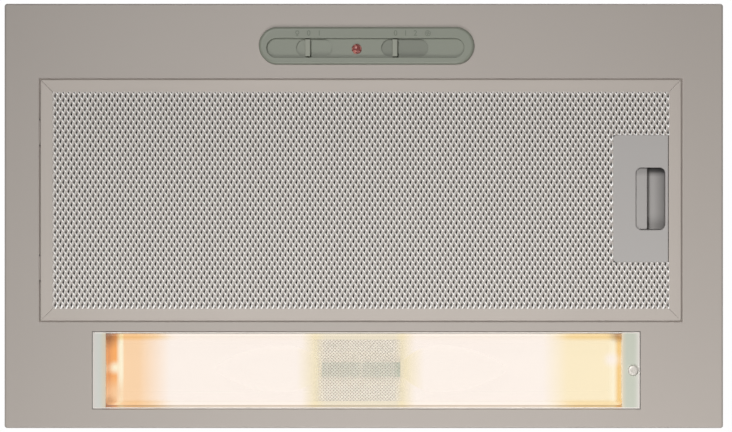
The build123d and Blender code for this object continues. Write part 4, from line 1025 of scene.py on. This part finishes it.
def raised_number(sign, x):
    """One number as a thin mesh that stands on the bezel's face and reads from below."""
    curve = bpy.data.curves.new("number", "FONT")
    curve.body = sign
    curve.align_x = "CENTER"
    curve.align_y = "CENTER"
    curve.size = TEXT_SIZE
    curve.extrude = MARK_RAISE
    curve.offset = TEXT_THINNER
    text = bpy.data.objects.new("number", curve)
    bpy.context.scene.collection.objects.link(text)
    bpy.context.view_layer.update()
    mesh = bpy.data.meshes.new_from_object(text.evaluated_get(bpy.context.evaluated_depsgraph_get()))
    bm = bmesh.new()
    bm.from_mesh(mesh)
    bpy.data.objects.remove(text)
    bpy.data.meshes.remove(mesh)
    place = Matrix.Translation((x * MM, MARK_Y, BEZEL_FACE_Z))
    bmesh.ops.transform(bm, matrix=place @ facing_down, verts=bm.verts[:])
    return bm


for order, (sign, x) in enumerate(NUMBERS):
    make_piece(f"bezel_number_{order}", raised_number(sign, x), mark_plastic, "housing")

# %% Lamp and fan signs
LAMP_SIGN_X = -49.0
FAN_SIGN_X = 47.2


def raise_flat(bm, x):
    """Gives a flat sign its thickness and puts it on the bezel's face."""
    raised = bmesh.ops.extrude_face_region(bm, geom=bm.faces[:])["geom"]
    bmesh.ops.translate(bm, vec=(0, 0, -2 * MARK_RAISE), verts=verts_of(raised))
    bmesh.ops.translate(bm, vec=(x * MM, MARK_Y, BEZEL_FACE_Z + MARK_RAISE), verts=bm.verts[:])
    bmesh.ops.recalc_face_normals(bm, faces=bm.faces[:])
    return bm


def flat_ring(bm, outer, inner, segments=24):
    """A flat ring about the origin."""
    edges = []
    for radius in (outer, inner):
        verts = bmesh.ops.create_circle(bm, segments=segments, radius=radius)["verts"]
        edges += {edge for vert in verts for edge in vert.link_edges}
    bmesh.ops.bridge_loops(bm, edges=edges)


def flat_bar(bm, width, depth, x, y):
    """A flat rectangle."""
    verts = bmesh.ops.create_grid(bm, x_segments=1, y_segments=1, size=0.5)["verts"]
    bmesh.ops.scale(bm, vec=(width, depth, 1), verts=verts)
    bmesh.ops.translate(bm, vec=(x, y, 0), verts=verts)


def lamp_sign():
    """A round bulb with a foot of two bars."""
    bm = bmesh.new()
    flat_ring(bm, 0.34 * MARK_H, 0.24 * MARK_H)
    bmesh.ops.translate(bm, vec=(0, -0.14 * MARK_H, 0), verts=bm.verts[:])
    for y in (0.29, 0.45):
        flat_bar(bm, 0.34 * MARK_H, 0.08 * MARK_H, 0, y * MARK_H)
    return raise_flat(bm, LAMP_SIGN_X)


def fan_sign():
    """Four blades in a ring."""
    bm = bmesh.new()
    flat_ring(bm, 0.5 * MARK_H, 0.42 * MARK_H)
    for quarter in range(4):
        verts = bmesh.ops.create_circle(bm, cap_ends=True, segments=12, radius=0.13 * MARK_H)["verts"]
        bmesh.ops.scale(bm, vec=(1.0, 0.6, 1), verts=verts)
        bmesh.ops.translate(bm, vec=(0.19 * MARK_H, 0.04 * MARK_H, 0), verts=verts)
        turn = Matrix.Rotation(quarter * pi / 2, 3, "Z")
        bmesh.ops.rotate(bm, cent=(0, 0, 0), matrix=turn, verts=verts)
    return raise_flat(bm, FAN_SIGN_X)


make_piece("bezel_lamp_sign", lamp_sign(), mark_plastic, "housing")
make_piece("bezel_fan_sign", fan_sign(), mark_plastic, "housing")

# %% [markdown]
# ## Softer edges
#
# No moulded or folded edge is perfectly sharp, and a narrow rounded edge is what catches the light. A
# Bevel modifier on a CAD node would find loose triangles and round nothing. So this helper copies the
# node, joins its triangles into whole faces, and bevels what is left of its sharp edges. The copy
# stands for the node.

# %% Rounded copies of CAD nodes
SHARP = radians(38)
FLAT = radians(0.5)
SMOOTH_BELOW = radians(30)


def softened(name, node, radius, material, body, segments=2):
    """A copy of a CAD node with its sharp edges rounded."""
    bm = node_copy(node)
    bmesh.ops.dissolve_limit(bm, angle_limit=FLAT, verts=bm.verts[:], edges=bm.edges[:])
    sharp = [edge for edge in bm.edges if edge.is_manifold and edge.calc_face_angle() > SHARP]
    bmesh.ops.bevel(
        bm,
        geom=sharp,
        offset=radius,
        offset_type="OFFSET",
        affect="EDGES",
        segments=segments,
        profile=0.5,
        clamp_overlap=True,
        material=-1,
    )
    return make_piece(name, bm, material, body, [node], smooth_angle=SMOOTH_BELOW)


print("edges sharper than", round(degrees(SHARP)), "degrees are rounded")

# %% [markdown]
# ## Shade in the sliders and in the finger cup
#
# A slider's fin stands up in the light, and its plate lies in the shade of the slot. The handle's
# finger cup grows darker with depth, most of all at its front and right walls. The lamps give part of
# that shade. The rest could come from dirt or from more lamps, but a colour that follows the depth is
# simple and looks right from every side.

# %% Plastics that change with depth
FIN_END, PLATE_START = 2.6 * MM, 3.6 * MM
CUP_START_Z, CUP_FULL_Z = -11.5 * MM, -8.5 * MM
CUP_SHADE = 0.82
FAN_PLATE_SHADE = 0.8
WHITE, HALF_SHADE, DEEP_SHADE = (1, 1, 1), (0.5, 0.5, 0.5), (0.2, 0.2, 0.2)
RIGHT_SPAN, FRONT_SPAN = (0.2, 0.23), (-0.04, -0.02)
RIGHT_STOPS = ((0.2145, WHITE), (0.2215, HALF_SHADE))
FRONT_STOPS = ((-0.0345, DEEP_SHADE), (-0.032, HALF_SHADE), (-0.029, WHITE))


def slider_moulding(name, node, fin_colour, plate_colour):
    """Slider plastic: the fin and the plate behind the slot differ in tone."""
    material = finish(name, fin_colour, 0.42, drift=0.02, grain=2200, bump=0.03)
    low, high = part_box(node)
    stops = ((low.z + FIN_END, fin_colour), (low.z + PLATE_START, plate_colour))
    tone = ramp_along(material, coordinates(material), "Z", low.z, high.z, stops)
    wire(material, tone, shader_of(material).inputs["Base Color"])
    return material


def handle_moulding():
    """Handle plastic with the shade that lies in the finger cup, deepest at its front and right walls."""
    material = finish("handle_cup_plastic", HANDLE_COLOUR, 0.5, drift=0.02, grain=2200, bump=0.04)
    split = coordinates(material)
    deep = eased(material, split.outputs["Z"], CUP_START_Z, CUP_FULL_Z)
    to_right = ramp_along(material, split, "X", *RIGHT_SPAN, RIGHT_STOPS)
    to_front = ramp_along(material, split, "Y", *FRONT_SPAN, FRONT_STOPS)
    tone = blend_colours(material, deep, HANDLE_COLOUR, scaled(HANDLE_COLOUR, CUP_SHADE))
    for shadow in (to_right, to_front):
        tone = blend_colours(material, deep, tone, shadow, mode="MULTIPLY")
    wire(material, tone, shader_of(material).inputs["Base Color"])
    return material


cup_tones = handle_moulding()
light_tones = slider_moulding("light_slider_plastic", "light_slider", FIN_COLOUR, BEZEL_COLOUR)
fan_plate = scaled(BEZEL_COLOUR, FAN_PLATE_SHADE)
fan_tones = slider_moulding("fan_slider_plastic", "fan_slider", FIN_COLOUR, fan_plate)
print("shaded plastics", [m.name for m in (cup_tones, light_tones, fan_tones)])

# %% Rounded pieces that show
softened("soft_bezel", "control_bezel", 0.3 * MM, bezel_plastic, "housing")
softened("soft_light_knob", "light_slider", 0.25 * MM, light_tones, "light_knob")
softened("soft_fan_knob", "fan_slider", 0.25 * MM, fan_tones, "fan_knob")
softened("soft_handle", "filter_handle", 0.35 * MM, cup_tones, "filter")
softened("soft_latch", "latch_slide", 0.4 * MM, cup_tones, "latch")
rail_metals = {"front": rail_metal_x, "back": rail_metal_x, "left": rail_metal_y, "right": rail_metal_y}
for side, metal in rail_metals.items():
    softened(f"soft_rail_{side}", f"filter_rail_{side}", 0.3 * MM, metal, "filter")

# %% [markdown]
# ## The latch spring
#
# The latch slides against a bowed leaf spring in the finger cup, and the bow flattens towards the
# cup's end wall as it comes. A rigid copy would be cut by the latch. Here the spring is a rounded copy
# of its CAD node with a mesh of its own, and it is not squashed.

# %% Latch spring
leaf_spring = softened(
    "soft_leaf", "latch_spring", 0.05 * MM, spring_steel, "filter", segments=1
)
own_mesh(leaf_spring)

# %% [markdown]
# ## The same above the panel
#
# The collar, the boxes, the gland and the flaps are mouldings, and the clips and the motor's bracket
# are folded from strip. Only the fitter sees them, but their edges are rounded in the same way, each
# with a radius that suits its kind.

# %% Rounded pieces above the panel
UPPER_PIECES = (
    ("soft_collar", "outlet_collar", 0.5, black_plastic, "collar_plastic"),
    ("soft_reducer", "duct_reducer", 0.4, black_plastic, "collar_plastic"),
    ("soft_gland", "cable_gland", 0.4, black_plastic, "switch_plastic"),
    ("soft_terminal_box", "terminal_box", 0.5, black_plastic, "switch_plastic"),
    ("soft_terminal_cover", "terminal_cover", 0.5, black_plastic, "switch_plastic"),
    ("soft_switch_box", "switch_box", 0.5, black_plastic, "switch_plastic"),
    ("soft_clips", "mounting_clips", 0.2, spring_steel, "spring_steel"),
    ("soft_motor_bracket", "motor_bracket", 0.4, bright_zinc, "bright_steel"),
)
for name, node, radius, material, slot in UPPER_PIECES:
    softened(name, node, radius * MM, material, "housing")
for side in ("left", "right"):
    softened(f"soft_holder_{side}", f"lamp_holder_{side}", 0.6 * MM, lamplit_holder_finish, "housing")
for end in ("front", "rear"):
    softened(f"soft_flap_{end}", f"flap_{end}", 0.25 * MM, black_plastic, f"{end}_flap")

# %% [markdown]
# ## Screws
#
# The sheet-metal screws have pan heads with a cross recess, and the cover's screw is a larger one of
# the same kind. A Boolean could cut the cross, but it leaves long thin faces that shade badly. So a
# grid of five by five faces holds the cross: its strips are moved to the cross's widths, its border
# goes out to a circle, and the five faces of the cross are pushed in. Then the border is drawn down
# over the head and the shank.

# %% One cross-recess screw
CROSS_GRID = 5
CROSS_STRIPS = {1: 0.13, 3: 0.56, 5: 1.0}
HEAD_PROFILE = ((0.88, 0.84), (1.0, 0.45), (1.0, 0.0))
FLAT_SHARE = 0.66
ARM_SHARE = 0.57
MIDDLE_SHARE = 0.05
SCREW_SMOOTH = radians(35)


def sink_cross(bm, flat_r, depth):
    """Pushes the five faces of the cross into the head."""
    cross = []
    for face in bm.faces:
        x, y, z = face.calc_center_median()
        if min(abs(x), abs(y)) < MIDDLE_SHARE * flat_r and max(abs(x), abs(y)) < ARM_SHARE * flat_r:
            cross.append(face)
    sunk = bmesh.ops.extrude_face_region(bm, geom=cross)["geom"]
    bmesh.ops.delete(bm, geom=[face for face in cross if face.is_valid], context="FACES_ONLY")
    bmesh.ops.translate(bm, vec=(0, 0, -depth), verts=verts_of(sunk))


def cross_screw(head_r, head_h, shank_r, shank_len, recess):
    """A screw with its seat at the origin and its head up."""
    bm = bmesh.new()
    bmesh.ops.create_grid(bm, x_segments=CROSS_GRID, y_segments=CROSS_GRID, size=1.0)
    flat_r = FLAT_SHARE * head_r
    border = [edge for edge in bm.edges if edge.is_boundary]
    rim = {vert for edge in border for vert in edge.verts}
    for vert in bm.verts:
        for axis in (0, 1):
            step = round(abs(vert.co[axis]) * CROSS_GRID)
            vert.co[axis] = CROSS_STRIPS[step] * (1 if vert.co[axis] > 0 else -1)
        if vert in rim:
            vert.co.normalize()
        vert.co = vert.co * flat_r + Vector((0, 0, head_h))
    sink_cross(bm, flat_r, recess)
    steps = [(out * head_r, up * head_h) for out, up in HEAD_PROFILE]
    for radius, level in (*steps, (shank_r, 0), (shank_r, -shank_len)):
        drawn = bmesh.ops.extrude_edge_only(bm, edges=border)["geom"]
        border = [g for g in drawn if isinstance(g, bmesh.types.BMEdge)]
        for vert in {vert for edge in border for vert in edge.verts}:
            outward = Vector((vert.co.x, vert.co.y, 0)).normalized()
            vert.co = outward * radius + Vector((0, 0, level))
    bmesh.ops.contextual_create(bm, geom=border)
    bmesh.ops.recalc_face_normals(bm, faces=bm.faces[:])
    return bm


print("cross arms reach", ARM_SHARE, "of the flat top's radius")

# %% Sheet-metal screws
SHEET_SCREW = {
    "head_r": 3.6 * MM,
    "head_h": 2.0 * MM,
    "shank_r": 1.75 * MM,
    "shank_len": 8.0 * MM,
    "recess": 1.1 * MM,
}
HEAD_SKIM = 0.1 * MM
HEADS_APART = 9.0 * MM


def screw_places(node):
    """The X, Y middles of a screw node's heads."""
    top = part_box(node)[1].z - HEAD_SKIM
    groups = []
    for vert in nodes[node].data.vertices:
        if vert.co.z > top:
            near = [group for group in groups if (group[0] - vert.co).length < HEADS_APART]
            if near:
                near[0].append(vert.co.copy())
            else:
                groups.append([vert.co.copy()])
    middles = []
    for group in groups:
        xs, ys = [v.x for v in group], [v.y for v in group]
        middles.append(((min(xs) + max(xs)) / 2, (min(ys) + max(ys)) / 2))
    return middles


def screw_set(name, node, body):
    """The sheet-metal screws of one node."""
    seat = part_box(node)[1].z - SHEET_SCREW["head_h"]
    bm = cross_screw(**SHEET_SCREW)
    source = bm.verts[:] + bm.edges[:] + bm.faces[:]
    places = screw_places(node)
    for x, y in places[1:]:
        copied = bmesh.ops.duplicate(bm, geom=source)["geom"]
        bmesh.ops.translate(bm, vec=(x, y, seat), verts=verts_of(copied))
    bmesh.ops.translate(bm, vec=(*places[0], seat), verts=verts_of(source))
    print(node, len(places), "screws")
    make_piece(name, bm, bright_zinc, body, [node], smooth_angle=SCREW_SMOOTH)


screw_set("casing_cross_screws", "casing_screws", "housing")
screw_set("scroll_cross_screws", "scroll_screws", "housing")
screw_set("collar_cross_screws", "collar_screws", "housing")

# %% Cover screw
COVER_HEAD_H = 2.0 * MM
COVER_SCREW_TURN = radians(20)
screw_low, screw_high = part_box("cover_screw")
cover_screw_bm = cross_screw(
    head_r=3.9 * MM,
    head_h=COVER_HEAD_H,
    shank_r=1.9 * MM,
    shank_len=screw_high.z - screw_low.z - COVER_HEAD_H,
    recess=0.3 * MM,
)
screw_mid = (screw_low + screw_high) / 2
screw_place = Matrix.Translation((screw_mid.x, screw_mid.y, screw_low.z + COVER_HEAD_H))
screw_turn = screw_place @ facing_down @ Matrix.Rotation(COVER_SCREW_TURN, 4, "Z")
bmesh.ops.transform(cover_screw_bm, matrix=screw_turn, verts=cover_screw_bm.verts[:])
make_piece(
    "cover_cross_screw",
    cover_screw_bm,
    pale_nickel,
    "lid_screw",
    ["cover_screw"],
    smooth_angle=SCREW_SMOOTH,
)

# %% [markdown]
# ## The pilot light
#
# The red pilot lens is cut in flat facets, so that it sparkles from every side. A spun dome would be
# smooth and would need them cut, and half an icosphere has such facets by itself: it is cut at its
# base, closed, pressed flatter and left unsmoothed.

# %% Faceted pilot lens
PILOT_RISE = 2.6 * MM
RUBY_DARK = shade(128, 44, 40)
# RUBY_LIT is a painted highlight, painted on random cells of the lens where its facets would catch light.
RUBY_LIT = shade(214, 132, 120)
RUBY_COAT = 0.5
FACET_SCALE = 620.0
LIT_FROM, LIT_FULL = 0.45, 0.95


def ruby_lens():
    """Dull red plastic with random cells painted lighter, as painted highlights on its facets."""
    material = finish("pilot_red", shade(150, 62, 56), 0.2, drift=0.12, patch=300)
    shader = shader_of(material)
    lit = eased(material, cell_tones(material, FACET_SCALE)["Red"], LIT_FROM, LIT_FULL)
    wire(material, blend_colours(material, lit, RUBY_DARK, RUBY_LIT), shader.inputs["Base Color"])
    shader.inputs["Coat Weight"].default_value = RUBY_COAT
    return material


def pilot_dome():
    """Half an icosphere, closed at its base and pressed flatter."""
    low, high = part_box("pilot_lens")
    centre = (low + high) / 2
    radius = (high.x - low.x) / 2
    base_z = low.z + PILOT_RISE
    bm = bmesh.new()
    bmesh.ops.create_icosphere(bm, subdivisions=2, radius=radius)
    cut(bm, (0, 0, 0), (0, 0, 1), True)
    rim = [edge for edge in bm.edges if edge.is_boundary]
    bmesh.ops.contextual_create(bm, geom=rim)
    bmesh.ops.scale(bm, vec=(1, 1, PILOT_RISE / radius), verts=bm.verts[:])
    bmesh.ops.translate(bm, vec=(centre.x, centre.y, base_z), verts=bm.verts[:])
    bmesh.ops.recalc_face_normals(bm, faces=bm.faces[:])
    return bm


pilot_red = ruby_lens()
dress(pilot_red, "pilot_lens")
make_piece("pilot_facets", pilot_dome(), pilot_red, "housing", ["pilot_lens"])

# %% [markdown]
# ## The floor
#
# The floor is a plain pale sheet far below, so that the camera stands between it and the hood. It
# shows in views from the side and from above. It is kept from throwing light up, because the panel is
# to have its light from the lamps.

# %% Floor
FLOOR_Z = -6.0
FLOOR_HALF = 30.0
floor_bm = bmesh.new()
bmesh.ops.create_grid(floor_bm, x_segments=1, y_segments=1, size=FLOOR_HALF)
bmesh.ops.translate(floor_bm, vec=(0, 0, FLOOR_Z), verts=floor_bm.verts[:])
floor_mesh = bpy.data.meshes.new("pale_floor")
floor_bm.to_mesh(floor_mesh)
floor_bm.free()
floor_mesh.materials.append(finish("pale_floor", shade(236, 234, 230), 0.6, drift=0.01, patch=2, grain=60))
floor = bpy.data.objects.new("pale_floor", floor_mesh)
bpy.context.scene.collection.objects.link(floor)
floor.visible_diffuse = False
print("floor", 2 * FLOOR_HALF, "m wide at", FLOOR_Z, "m")
